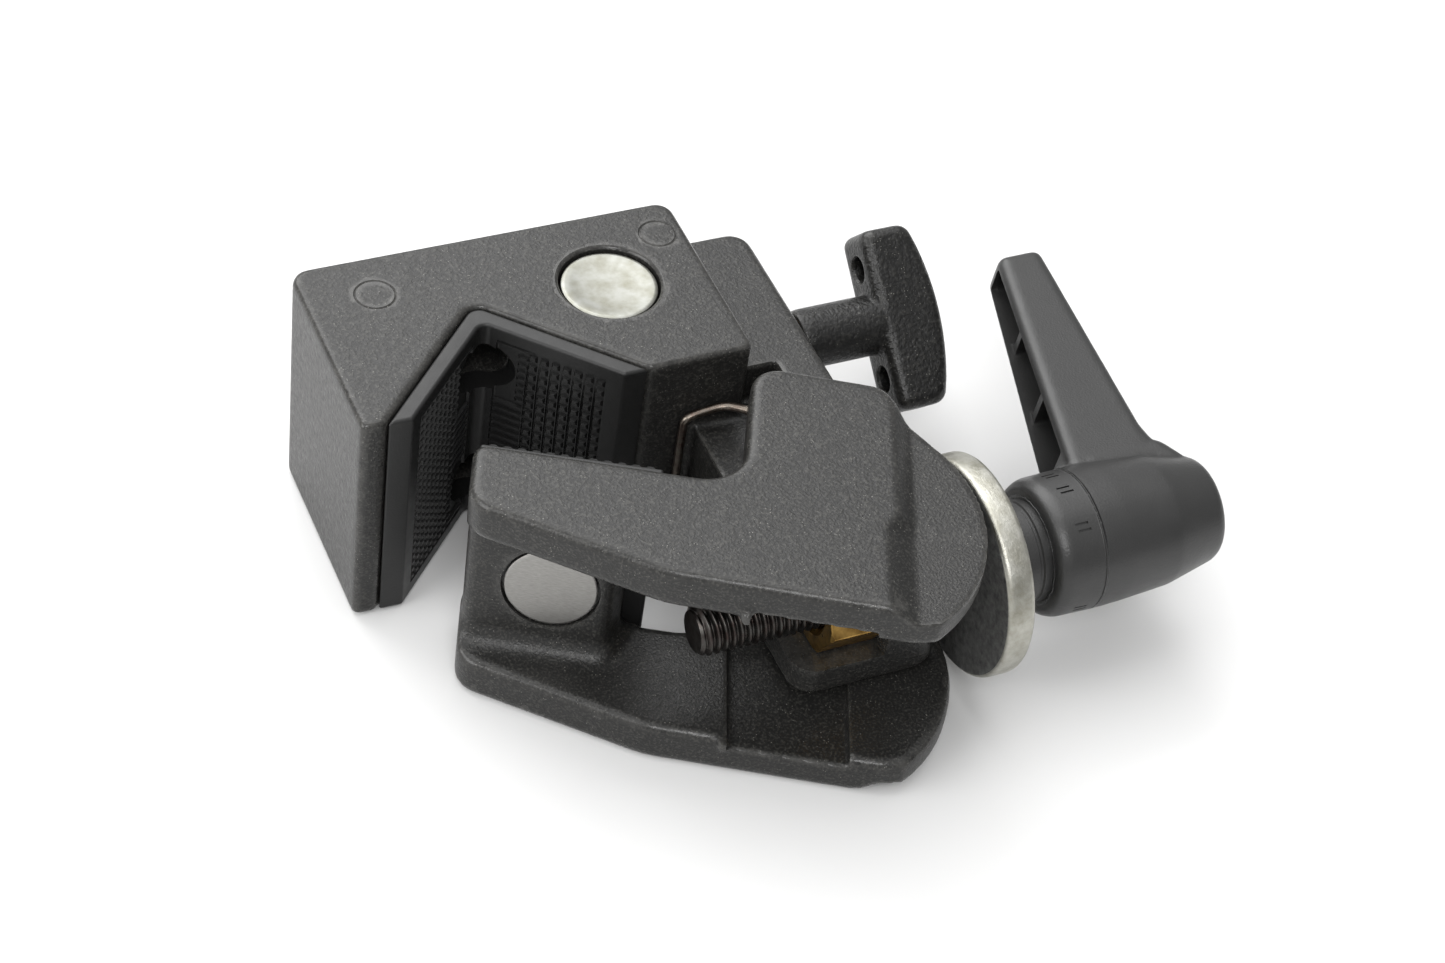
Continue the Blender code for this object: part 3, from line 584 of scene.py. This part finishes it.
PAINT = powder_paint("black_powder_paint")
KNOB_PAINT = powder_paint("coarse_black_paint", 1.6, 0.2, 0.005, 0.32)
GRIP = moulded_plastic("grip_plastic", 0.009, 0.40, 2.5, 0.03, 0.38)
PLASTIC = moulded_plastic("handle_plastic", 0.019, 0.36, 3.0, 0.05, 0.5)
ZINC = zinc("zinc_plate")
WASHER_FACE = dark_zinc("washer_dark_face")
BRIGHT = bright_metal("bright_metal")
BRUSHED = brushed("brushed_metal")
THREAD_STEEL = oily_steel("oily_thread_steel", (0.065, 0.062, 0.058), 0.008)
SPRING_STEEL = oily_steel("spring_wire_steel", (0.17, 0.15, 0.128), 0.02)
BRASS = brass("machined_brass")


# ---------------------------------------------------------------- main casting and its pad

def peg_cutter(name, z, depth_y):
    """Upright hole in the V, cut from the head's front to depth_y."""
    cutter = rod(name, PEG_HOLE_R, 0, depth_y - HEAD_FRONT)
    return place(cutter, (V_X, HEAD_FRONT, z), (-math.pi / 2, 0, 0))


def spring_pocket(name, z0, z1):
    x, y = PIVOT
    r = 9.0
    return slab(name, outline([
        (5, HEAD_FRONT + 3, 0), (5, y - r, 0), (x + r, y - r, r - 0.1), (x + r, y + 3.5, 4),
        (22, y + 10, 2), (22, HEAD_FRONT + 3, 0)]), z0, z1)


def make_casting():
    leg = V_APEX_Y - HEAD_FRONT
    head = slab("main_casting", outline([
        (HEAD_LEFT, HEAD_BACK, 3.0), (HEAD_LEFT, HEAD_FRONT, 1.0), (V_X - leg, HEAD_FRONT, 0.8),
        (V_X, V_APEX_Y, 2.6), (V_X + leg, HEAD_FRONT, 0.8), (HEAD_RIGHT, HEAD_FRONT, 1.6),
        (HEAD_RIGHT, HEAD_BACK, 2.8)]), 0, BODY_H)
    bevel(head, EDGE)
    shank = slab("shank", outline([
        (12, SHANK_BACK, 0), (12, -12, 0), (15, -15, 0), (15, -29, 2), (YOKE_LEFT + 1, -38, 3),
        (YOKE_LEFT, -46, 3), (YOKE_LEFT, YOKE_FRONT, 4), (YOKE_RIGHT, YOKE_FRONT, 4.5),
        (YOKE_RIGHT, -43, 5), (SHANK_RIGHT, -34, 8), (SHANK_RIGHT, SHANK_BACK, 3.5)]),
        SHANK_Z0, SHANK_Z1)
    bevel(shank, EDGE)
    combine(shank, spring_pocket("spring_pocket_upper", CORE_Z1, BODY_H))
    combine(shank, spring_pocket("spring_pocket_lower", 0, CORE_Z0))
    combine(head, shank, "UNION")
    core = slab("shank_core", outline([
        (7.6, -15, 0), (7.6, -36, 3), (10, -45.4, 0), (22, -45.4, 0), (22, -15, 0)]),
        CORE_Z0, CORE_Z1)
    combine(head, core, "UNION")
    melt(head, 0.45, 5, 0.4)
    passage = slab("screw_passage", outline([(-5.6, -4.5, 4.4), (5.6, -4.5, 4.4), (5.6, 4.5, 4.4),
                                             (-5.6, 4.5, 4.4)]), 21.9, YOKE_RIGHT + 1)
    place(passage, (0, SCREW_Y, MID_Z), (math.pi / 2, 0, math.pi / 2))
    rim = [(0, 42), (8.5, 42), (8.5, 41.0), (8.25, 40.88), (8.05, 40.65), (7.95, 40.35),
           (7.9, 36.0), (6.5, 36.0), (6.5, 32), (0, 32)]
    knob_bore = [(0, SHANK_RIGHT + 1), (6.1, SHANK_RIGHT + 1), (6.1, 15.5), (4.3, 15.5), (4.3, 5), (0, 5)]
    slot_low, slot_high = (0, YOKE_FRONT - 5, MID_Z - 7.3), (22.9, -45.4, MID_Z + 7.3)
    cut_all(head,
            *[peg_cutter("peg_hole", z, V_APEX_Y + 6) for z in PEG_HOLE_Z],
            rod("pivot_bore", 5.5, SHANK_Z0 - 1, SHANK_Z1 + 1, *PIVOT, 0, along="Z"),
            bevel(box("nut_slot", slot_low, slot_high), 0.5, 2), passage,
            bevel(prism("stud_socket", 6, 16.2, -1, 33.0), 0.8, 3, 30),
            turned("socket_top", rim, z=0, along="Z"),
            turned("knob_bore", knob_bore, y=KNOB_Y),
            ejector_mark(-35.5, 7.0, 3.1), ejector_mark(11.4, 8.4, 2.9))
    piece(head, PAINT, "jaw", "jaw_casting")


def ejector_mark(x, y, radius):
    """Thin ring that a mould's ejector pin leaves in the top face."""
    deep, half, top = 0.14, 0.2, BODY_H
    profile = [(radius - half, top + 1), (radius + half, top + 1), (radius + half, top),
               (radius, top - deep), (radius - half, top)]
    return turned("ejector_mark", profile, x, y, 0, hollow=True, along="Z")


def make_plug():
    profile = [(0, 39.93), (2.0, 39.95), (4.0, 40.02), (5.8, 40.14), (6.9, 40.28), (7.25, 40.26),
               (7.5, 40.12), (7.6, 39.8), (7.6, 36.3), (0, 36.3)]
    disc = turned("socket_disc", profile, z=0, along="Z", steps=96)
    piece(disc, BRIGHT, "jaw", "socket_plug", flat=False)


def tooth_field(name, frame_matrix, cells, height):
    """Small wedge teeth on a flank; a cell is (along, up, width, tall, lean), lean shifting its top up."""
    mesh = bpy.data.meshes.new(name)
    work = bmesh.new()
    for s, z, width, tall, lean in cells:
        base = [(s - width / 2, z - tall / 2), (s + width / 2, z - tall / 2),
                (s + width / 2, z + tall / 2), (s - width / 2, z + tall / 2)]
        top = [(s - width * 0.3, z - tall * 0.12 + lean), (s + width * 0.3, z - tall * 0.12 + lean),
               (s + width * 0.22, z + tall * 0.3 + lean), (s - width * 0.22, z + tall * 0.3 + lean)]
        low = [work.verts.new((a * MM, b * MM, -0.15 * MM)) for a, b in base]
        high = [work.verts.new((a * MM, b * MM, height * MM)) for a, b in top]
        work.faces.new(high)
        work.faces.new(low[::-1])
        for i in range(4):
            j = (i + 1) % 4
            work.faces.new((low[i], low[j], high[j], high[i]))
    work.to_mesh(mesh)
    work.free()
    field = mesh_object(name, mesh)
    field.matrix_world = HOME @ frame_matrix
    return field


def flank_matrix(origin, along, outwards):
    """Axes of a flank: x along it, y up, z out of its face."""
    a, n = Vector((*along, 0)), Vector((*outwards, 0))
    up = Vector((0, 0, 1))
    turn = Matrix((a, up, n)).transposed()
    return Matrix.Translation(Vector((*origin, 0)) * MM) @ turn.to_4x4()


def make_v_pad():
    root2 = math.sqrt(2)
    top, front = V_APEX_Y - 0.3 * root2, HEAD_FRONT - 0.1
    leg = top - front
    thick = 2.8 * root2
    inner = leg - thick
    pad = slab("v_pad", outline([
        (V_X - leg, front, 0), (V_X, top, 2.3), (V_X + leg, front, 0),
        (V_X + inner, front, 0.6), (V_X, top - thick, 1.6), (V_X - inner, front, 0.6)]),
        MID_Z - 20.3, MID_Z + 20.3)
    bevel(pad, 0.7, 3)
    apex = (V_X, top - thick)
    sink = 0.55
    c = math.sqrt(0.5)
    flanks = (("right", (c, -c), (-c, -c)), ("left", (-c, -c), (c, -c)))
    for side, along, normal in flanks:
        well = box(f"grip_well_{side}", (2.6, 2.6, -sink), (20.8, 38.4, 3))
        well.matrix_world = HOME @ flank_matrix(apex, along, normal)
        combine(pad, bevel(well, 0.35, 2))
    for z in PEG_HOLE_Z:
        combine(pad, peg_cutter("pad_peg_hole", z, V_APEX_Y + 2))
    pad = piece(pad, GRIP, "jaw", "fixed_jaw_pad")
    for side, along, normal in flanks:
        cells = []
        if side == "right":
            for row in range(18):
                cells += [(8.65 + column * 1.85, 3.5 + row * 1.95, 1.55, 1.5, 0.1) for column in range(7)]
            cells += [(7.7 + column * 1.85, MID_Z, 0.25, 35.4, 0.0) for column in range(7)]
        else:
            for row in range(24):
                cells += [(8.6 + column * 1.62, 3.3 + row * 1.49, 1.5, 1.38, 0.0) for column in range(8)]
        for row in range(24):
            z = 3.4 + row * 1.49
            near_peg = min(abs(z - hole) for hole in PEG_HOLE_Z) < PEG_HOLE_R + 0.6
            start = 6.4 if near_peg else 2.3
            cells.append(((start + 7.9) / 2, z, (7.9 - start) * 1.5, 0.72, 0.0))
        base = flank_matrix(apex, along, normal) @ Matrix.Translation((0, 0, -sink * MM))
        field = tooth_field(f"v_pad_teeth_{side}", base, cells, 0.5)
        piece(field, GRIP, "jaw", angle=20, flat=False)


# ---------------------------------------------------------------- arm

ARM = Matrix.Translation((PIVOT[0] * MM, PIVOT[1] * MM, 0)) @ Matrix.Rotation(ARM_ANGLE, 4, "Z")


def on_arm(obj):
    obj.matrix_world = HOME @ ARM
    return obj


def arm_outline():
    cx, cy = LOBE_MIDDLE
    corners = [(*JAW_TIP, 2.0), (-51.4, -21.6, 4.5), (-22.5, -32.4, 14), (5.0, -35.6, 3)]
    points = outline([(20, 0, 0)] + corners + [(16, -36.6, 0)])[1:-1]
    points.append((13.0, -36.4))
    for degrees in range(-46, 50, 4):
        angle = math.radians(degrees)
        points.append((cx + LOBE_R * math.cos(angle), cy + LOBE_R * math.sin(angle)))
    ear = [(12.6, 4.6, 2.4), (9.6, 9.8, 4), (-10.4, 12.2, 4.5), (*JAW_VALLEY, 6.5)]
    points += outline([(20, -2, 0)] + ear + [(*JAW_TIP, 0)])[1:-1]
    return points


def lobe_step(name, ramp, y0, y1, upper, deep):
    face, way = (BODY_H, 1) if upper else (0, -1)
    points = [(ramp[0], face), (ramp[1], face - way * deep), (40, face - way * deep),
              (40, face + way * 3), (ramp[0] - 3, face + way * 3)]
    wedge = on_arm(slab(name, points, y0, y1))
    wedge.data.transform(Matrix(((1, 0, 0, 0), (0, 0, 1, 0), (0, 1, 0, 0), (0, 0, 0, 1))))
    wedge.data.flip_normals()
    return wedge


def badge_shape(name, profile):
    disc = turned(name, profile, steps=96)
    face = Matrix.Rotation(math.atan2(-2.2, 21.8), 4, "Z") @ Matrix.Rotation(math.pi / 2, 4, "X")
    at = Matrix.Translation((-38.2 * MM, -18.5 * MM, MID_Z * MM))
    disc.matrix_world = HOME @ ARM @ at @ face @ Matrix.Diagonal((0.95, 1.06, 1, 1))
    return disc


def flared(name, points, z0, z1, radius):
    """Upright post of a convex outline that widens in a fillet at both ends."""
    middle = Vector((sum(p[0] for p in points), sum(p[1] for p in points))) / len(points)
    outward = []
    for i, point in enumerate(points):
        before, after = Vector(points[i - 1]), Vector(points[(i + 1) % len(points)])
        normal = Vector((after.y - before.y, before.x - after.x)).normalized()
        outward.append(normal if normal.dot(Vector(point) - middle) > 0 else -normal)
    levels = [(z0 - 1.0, radius)] + [(z0 + radius * (1 - math.cos(a)), radius * (1 - math.sin(a)))
                                     for a in (math.pi / 2 * i / 5 for i in range(6))]
    levels += [(z0 + z1 - z, wide) for z, wide in reversed(levels)]
    mesh = bpy.data.meshes.new(name)
    work = bmesh.new()
    rings = [[work.verts.new(((x + n.x * wide) * MM, (y + n.y * wide) * MM, z * MM))
              for (x, y), n in zip(points, outward)] for z, wide in levels]
    for low, high in zip(rings, rings[1:]):
        for i in range(len(points)):
            j = (i + 1) % len(points)
            work.faces.new((low[i], low[j], high[j], high[i]))
    work.faces.new(rings[0])
    work.faces.new(rings[-1])
    bmesh.ops.recalc_face_normals(work, faces=work.faces)
    work.to_mesh(mesh)
    work.free()
    return mesh_object(name, mesh)


def make_arm():
    arm = on_arm(slab("arm_body", arm_outline(), BODY_H - FLANGE, BODY_H))
    bevel(arm, 1.6)
    lower = on_arm(slab("arm_flange_lower", arm_outline(), 0, FLANGE))
    web = on_arm(flared("arm_web", outline([
        (-50.9, -10.0, 0.8), (-51.0, -17.2, 2.0), (-29.2, -19.4, 2.2), (-26.4, -12.3, 1.4)]),
        FLANGE, BODY_H - FLANGE, 3.2))
    combine(web, on_arm(slab("web_limit", arm_outline(), FLANGE - 2, BODY_H - FLANGE + 2)), "INTERSECT")
    posts = [on_arm(rod("rim_post", 0.9, z - 1.0, z + 1.0, z=0, along="Z"))
             for z in (FLANGE - 0.9, BODY_H - FLANGE + 0.9)]
    for post in posts:
        post.matrix_world = post.matrix_world @ Matrix.Translation((-10.8 * MM, -34.0 * MM, 0))
    fuse(arm, bevel(lower, 1.6), web, *posts)
    melt(arm, 0.4, 0, 0.25)
    tools = [on_arm(slab("flange_recess", [(-10.4, -50), (8.0, -50), (8.0, 6), (-10.4, 6)], z0, z1))
             for z0, z1 in ((BODY_H - FLANGE - 1, BODY_H - FLANGE + 1.7), (FLANGE - 1.7, FLANGE + 1))]
    for upper in (True, False):
        tools.append(lobe_step("step_front", (8.8, 12.9), -50, -19.4, upper, LOBE_STEP))
        tools.append(lobe_step("step_front_blend", (9.4, 13.0), -19.5, -18.4, upper, LOBE_STEP - 0.1))
        tools.append(lobe_step("step_back_blend", (10.0, 13.1), -18.5, -17.4, upper, LOBE_STEP - 0.2))
        tools.append(lobe_step("step_back", (10.6, 13.2), -17.5, 20, upper, LOBE_STEP - 0.35))
    cut_all(arm, *tools)
    melt(arm, 0.4, 5, 0.4)
    cut_all(arm, on_arm(rod("bolt_bore", 4.3, 3.5, 38.5, z=0, along="Z")),
            on_arm(rod("bolt_head_bore", 6.5, -1, 3.9, z=0, along="Z")),
            badge_shape("badge_recess", [(0, 1.0), (7.9, 1.0), (7.8, -0.9), (0, -0.9)]))
    piece(arm, PAINT, "arm", "arm_casting")


def make_badge():
    profile = [(0, 0.08), (6.9, 0.08), (7.2, 0.02), (7.35, -0.12), (7.35, -0.6), (0, -0.6)]
    piece(badge_shape("plain_badge", profile), BRUSHED, "arm", "arm_badge")


def make_arm_pad():
    along = (Vector(JAW_VALLEY) - Vector(JAW_TIP)).normalized()
    out = Vector((-along.y, along.x))
    start = Vector(JAW_TIP) + along * 0.8
    end = start + along * 27.0
    points = [start + out * 2.0, start + out * 0.3, end + out * 0.3, end + out * 2.0]
    pad = on_arm(slab("arm_pad", [tuple(p) for p in points], 1.9, BODY_H - 1.9))
    bevel(pad, 0.5, 3)
    piece(pad, GRIP, "arm", "arm_jaw_pad")
    cells = []
    for row in range(19):
        for column in range(12):
            cells.append((1.9 + column * 2.1, 2.9 + row * 1.95, 1.7, 1.6, 0.1))
    flank = flank_matrix(tuple(start + out * 2.0), tuple(along), tuple(out))
    field = tooth_field("arm_pad_teeth", flank, cells, 0.5)
    field.matrix_world = HOME @ ARM @ flank
    piece(field, GRIP, "arm", angle=20, flat=False)


def make_spring():
    """Twin coils round the pivot, bridged against the head, with their ends under the arm's flanges."""
    px, py = PIVOT
    wire_r, coil_r, pitch = 0.9, 7.4, 2.0
    low = CORE_Z1 + 0.3 + wire_r + 0.1
    first, last = math.radians(-90), math.radians(770)
    count = 60
    coil = []
    for i in range(count + 1):
        angle = first + (last - first) * i / count
        z = low + pitch * (angle - first) / (2 * math.pi)
        coil.append((px + coil_r * math.cos(angle), py + coil_r * math.sin(angle), z))
    top = coil[-1][2]
    tail = [(-0.5, -42.3, low + 5.2), (-0.5, -42.3, low + 1.6), (0.1, -42.4, low + 0.4), (1.5, -42.7, low),
            (10.0, -44.6, low)]
    wall = HEAD_FRONT - 0.3 - wire_r - 0.1
    reach = [(16.0, wall - 4.4, top - 0.6), (12.6, wall - 0.9, top - 1.2), (11.2, wall - 0.2, top - 1.5),
             (9.4, wall, top - 1.8), (6.2, wall, top - 2.3), (5.2, wall, top - 2.9), (5.0, wall, top - 4.0)]
    upper = tail + coil + reach
    lower = [(x, y, BODY_H - z) for x, y, z in reversed(upper)]
    path = rounded(upper + lower, 2)
    piece(wire("return_spring", path, 0.7), SPRING_STEEL, "jaw", "torsion_spring", angle=60, flat=False)


# ---------------------------------------------------------------- screw, nut, washer, handle

def thread(name, x0, x1, y, chamfer=1.0):
    """Real right-hand metric thread as a skin over a cylinder, closed at both ends."""
    per_pitch, around = 12, 48
    rows = round((x1 - x0) / PITCH * per_pitch)
    mesh = bpy.data.meshes.new(name)
    work = bmesh.new()
    rings = []
    for i in range(rows + 1):
        x = x0 + (x1 - x0) * i / rows
        ring = []
        for k in range(around):
            turn = k / around
            phase = (x / PITCH - turn) % 1.0
            depth = min(1.0, max(0.0, (abs(phase - 0.5) * 2 - 0.12) / 0.74))
            limit = SCREW_R - max(0.0, chamfer - min(x - x0, x1 - x)) * 0.8
            radius = min(SCREW_R - 0.02 - 0.72 * depth, limit)
            angle = 2 * math.pi * turn
            across, up = radius * math.cos(angle), radius * math.sin(angle)
            ring.append(work.verts.new((x * MM, across * MM, up * MM)))
        rings.append(ring)
    for a, b in zip(rings, rings[1:]):
        for k in range(around):
            j = (k + 1) % around
            work.faces.new((a[k], b[k], b[j], a[j]))
    work.faces.new(rings[0])
    work.faces.new(rings[-1][::-1])
    bmesh.ops.recalc_face_normals(work, faces=work.faces)
    work.to_mesh(mesh)
    work.free()
    return place(mesh_object(name, mesh), (0, y, MID_Z))


def make_screw():
    long = thread("threaded_screw", -6.5, 66.0, SCREW_Y)
    piece(long, THREAD_STEEL, "screw", "clamp_screw", angle=50, flat=False)
    short = thread("knob_screw", 10.6, 41.0, KNOB_Y, 0.7)
    piece(short, THREAD_STEEL, "knob", "knob_stud", angle=50, flat=False)


def make_nut():
    half = 4.9
    nut = prism("hex_nut", 6, 14.0, -half, half)
    place(nut, (NUT_X, SCREW_Y, MID_Z), (0, math.pi / 2, 0))
    bevel(nut, 0.25, 2, 30)
    cone = [(0, 12), (6, 12), (7.35, half), (8.6, half - 0.75),
            (8.6, -half + 0.75), (7.35, -half), (6, -12), (0, -12)]
    dome = turned("nut_chamfer", cone, NUT_X, SCREW_Y, MID_Z)
    combine(nut, dome, "INTERSECT")
    bore = [(0, 24), (5.4, 24), (5.0, 22.4), (4.2, 21.6),
            (4.2, 13.4), (5.0, 12.6), (5.4, 11), (0, 11)]
    combine(nut, turned("nut_bore", bore, y=SCREW_Y))
    piece(nut, BRASS, "nut", "clamp_nut", angle=25)


def make_washer():
    r, x0, x1, rim = 17.3, 36.9, 41.5, 0.9
    arc = [(rim * (1 - math.cos(a)), rim * (1 - math.sin(a)))
           for a in (math.pi / 2 * i / 4 for i in range(5))]
    near = [(r - u, x0 + v) for u, v in arc]
    far = [(r - u, x1 - v) for u, v in reversed(arc)]
    profile = [(4.35, x1)] + far + near + [(4.8, x0), (4.35, x0 + 0.4)]
    washer = turned("thrust_washer", profile, y=SCREW_Y, hollow=True, steps=144)
    washer = piece(washer, ZINC, "washer", "pressure_washer", flat=False)
    washer.data.materials.append(WASHER_FACE)
    for polygon in washer.data.polygons:
        if polygon.normal.x < -0.9:
            polygon.material_index = 1


def make_collar():
    profile = [(4.35, 53.0), (7.7, 53.0), (8.1, 52.6), (8.1, 48.2), (7.85, 48.0), (7.85, 47.6),
               (8.1, 47.4), (8.1, 44.4), (8.5, 43.9), (8.8, 43.6), (8.8, 42.1), (8.5, 41.8), (4.35, 41.8)]
    piece(turned("collar", profile, y=SCREW_Y, hollow=True), PLASTIC, "screw", "thrust_collar")


def lever_block(name, l0, l1, left, right, thick):
    """Tapered block along the lever; left, right and thick are (at l0, at l1)."""
    mesh = bpy.data.meshes.new(name)
    work = bmesh.new()
    bmesh.ops.create_cube(work, size=1)
    for vert in work.verts:
        end = 0 if vert.co.y < 0 else 1
        x = (left if vert.co.x < 0 else right)[end]
        z = math.copysign(thick[end] / 2, vert.co.z)
        vert.co = (x * MM, (l0, l1)[end] * MM, z * MM)
    work.to_mesh(mesh)
    work.free()
    return place(mesh_object(name, mesh), (0, SCREW_Y, MID_Z), (LEVER_ANGLE, 0, 0))


def along_lever(ends, at):
    return ends[0] + (ends[1] - ends[0]) * (at - LEVER_START) / (LEVER_END - LEVER_START)


def make_handle():
    left, right, thick = (58.6, 68.5), (74.6, 76.4), (14.0, 8.0)
    profile = [(0, 80.4), (7.4, 80.4), (8.1, 79.9), (8.5, 79.2), (10.4, 71.0), (11.0, 62.0),
               (11.1, 58.0), (10.95, 51.2), (10.4, 49.9), (9.6, 49.4), (0, 49.4)]
    hub = turned("handle", profile, y=SCREW_Y, steps=96)
    blade = lever_block("blade", LEVER_START, LEVER_END, left, right, thick)
    combine(hub, bevel(blade, 1.5, 4), "UNION")
    root = lever_block("blade_root", LEVER_START, 16.0, (60.2, 63.2), (76.5, 74.7), (14.0, 12.4))
    combine(hub, bevel(root, 1.5, 3), "UNION")
    foot = lever_block("blade_foot", LEVER_START, 10.8, (60.2, 62.2), (79.4, 76.2), (14.6, 13.4))
    combine(hub, bevel(foot, 1.5, 3), "UNION")
    melt(hub, 0.38, 10)
    bore = [(8.6, 48), (8.6, 53.3), (7.3, 53.3), (7.3, 66.4), (2.9, 66.4), (2.9, 68.2), (5.6, 68.2),
            (5.6, 79.6), (6.3, 81), (0, 81), (0, 48)]
    combine(hub, turned("hub_bore", bore, y=SCREW_Y, steps=64))
    groove = [(12, 57.4), (10.9, 57.4), (10.85, 57.25), (10.9, 57.1), (12, 57.1)]
    combine(hub, turned("seam_groove", groove, y=SCREW_Y, hollow=True, steps=96))
    for degrees in (60, 84, 120, 200, 224):
        for lift in (0, 1.1):
            dash = box("dash", (53.0 + lift * 0.2, 10.72, -0.55), (55.2 + lift * 0.2, 12, -0.2))
            place(dash, (0, SCREW_Y, MID_Z), (math.radians(degrees + lift * 5), 0, 0))
            combine(hub, dash)
    ends, open_side = (12.6, 51.2), (49.4, 49.4)
    channel = lever_block("lever_channel", *ends, open_side, [along_lever(left, at) + 1.3 for at in ends],
                          [along_lever(thick, at) - 3.0 for at in ends])
    combine(hub, bevel(channel, 0.5, 2))
    for ends in ((12.6, 25.0), (26.3, 38.2), (39.4, 51.2)):
        wide = [along_lever(thick, at) - 3.02 for at in ends]
        floor = [along_lever(right, at) - 2.4 for at in ends]
        pocket = lever_block("lever_pocket", *ends, open_side, floor, wide)
        combine(hub, bevel(pocket, 0.9, 2))
    piece(hub, PLASTIC, "handle", "ratchet_handle", angle=40)


def make_retaining_screw():
    x1 = 78.6
    profile = [(0, x1), (3.4, x1), (4.1, x1 - 0.15), (4.55, x1 - 0.5), (4.7, x1 - 0.9), (4.7, 75.6),
               (2.0, 75.6), (2.0, 59.2), (0, 59.2)]
    screw = turned("slotted_screw", profile, y=SCREW_Y, steps=64)
    low, high = (x1 - 1.2, SCREW_Y - 6, MID_Z - 0.6), (x1 + 1, SCREW_Y + 6, MID_Z + 0.6)
    combine(screw, box("driver_slot", low, high))
    piece(screw, ZINC, "screw", "retaining_screw")


def make_handle_spring():
    """Coil under the retaining screw's head, pressed together as the handle is lifted."""
    count, per_turn, coil_r, x0, x1 = 160, 40, 3.7, 70.1, 74.8
    points = []
    for i in range(count + 1):
        angle = 2 * math.pi * i / per_turn
        points.append((x0 + (x1 - x0) * i / count, SCREW_Y + coil_r * math.cos(angle),
                       MID_Z + coil_r * math.sin(angle)))
    coil = wire("handle_coil", points, 0.4)
    coil = piece(coil, SPRING_STEEL, "screw", "handle_spring", angle=60, flat=False)
    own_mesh(coil)


# ---------------------------------------------------------------- locking knob

def make_knob():
    face, top, half, end = 47.8, 58.8, 15.0, 8.4
    neck, neck_x0 = 5.0, 33.8
    profile = [(0, face + 0.5), (neck - 0.1, face + 0.5), (neck, face - 1), (neck, neck_x0 + 1.4),
               (neck - 0.5, neck_x0 + 1.25), (neck - 0.5, neck_x0 + 1.0), (neck - 0.1, neck_x0 + 0.9),
               (neck - 0.1, neck_x0 + 0.3), (neck - 0.4, neck_x0), (0, neck_x0)]
    knob = turned("t_knob", profile, y=KNOB_Y)
    shoulder = face + end
    rise = top - shoulder
    dome = (half ** 2 + rise ** 2) / (2 * rise)
    corners = [(face, half, 1.8), (face, -half, 1.8), (shoulder, -half, 2.4)]
    for i in range(-6, 7):
        y = half * i / 8
        corners.append((top - dome + math.sqrt(dome ** 2 - y ** 2), y, 0))
    corners.append((shoulder, half, 2.4))
    bar = slab("knob_bar", outline(corners), -4.9, 4.9)
    place(bar, (0, KNOB_Y, MID_Z), (KNOB_ANGLE, 0, 0))
    combine(knob, bevel(bar, 1.7, 4, 30), "UNION")
    melt(knob, 0.3, 7)
    hole = [(0, face + 5), (2.05, face + 5), (2.1, face + 0.4), (2.5, face - 0.1), (2.5, face - 1),
            (0, face - 1)]
    for at in KNOB_HOLES:
        y = KNOB_Y + at * math.cos(KNOB_ANGLE)
        z = MID_Z + at * math.sin(KNOB_ANGLE)
        combine(knob, turned("knob_hole", hole, y=y, z=z, steps=48))
    combine(knob, rod("stud_hole", 4.1, 33, 41.3, y=KNOB_Y))
    piece(knob, KNOB_PAINT, "knob", "locking_knob", angle=40)


def paint_kept_nodes():
    """CAD pieces that stay: mostly inside the others."""
    finishes = {"pivot_bolt": THREAD_STEEL, "pivot_bush": BRASS, "ratchet_core": BRIGHT,
                "spring_seat": ZINC, "knob_tip": BRASS, "knob_insert": BRASS}
    for name, mat in finishes.items():
        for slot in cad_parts[name].material_slots:
            slot.material = mat


make_camera()
make_studio()
make_casting()
make_plug()
make_v_pad()
make_arm()
make_badge()
make_arm_pad()
make_spring()
make_screw()
make_nut()
make_washer()
make_collar()
make_handle()
make_retaining_screw()
make_handle_spring()
make_knob()
paint_kept_nodes()
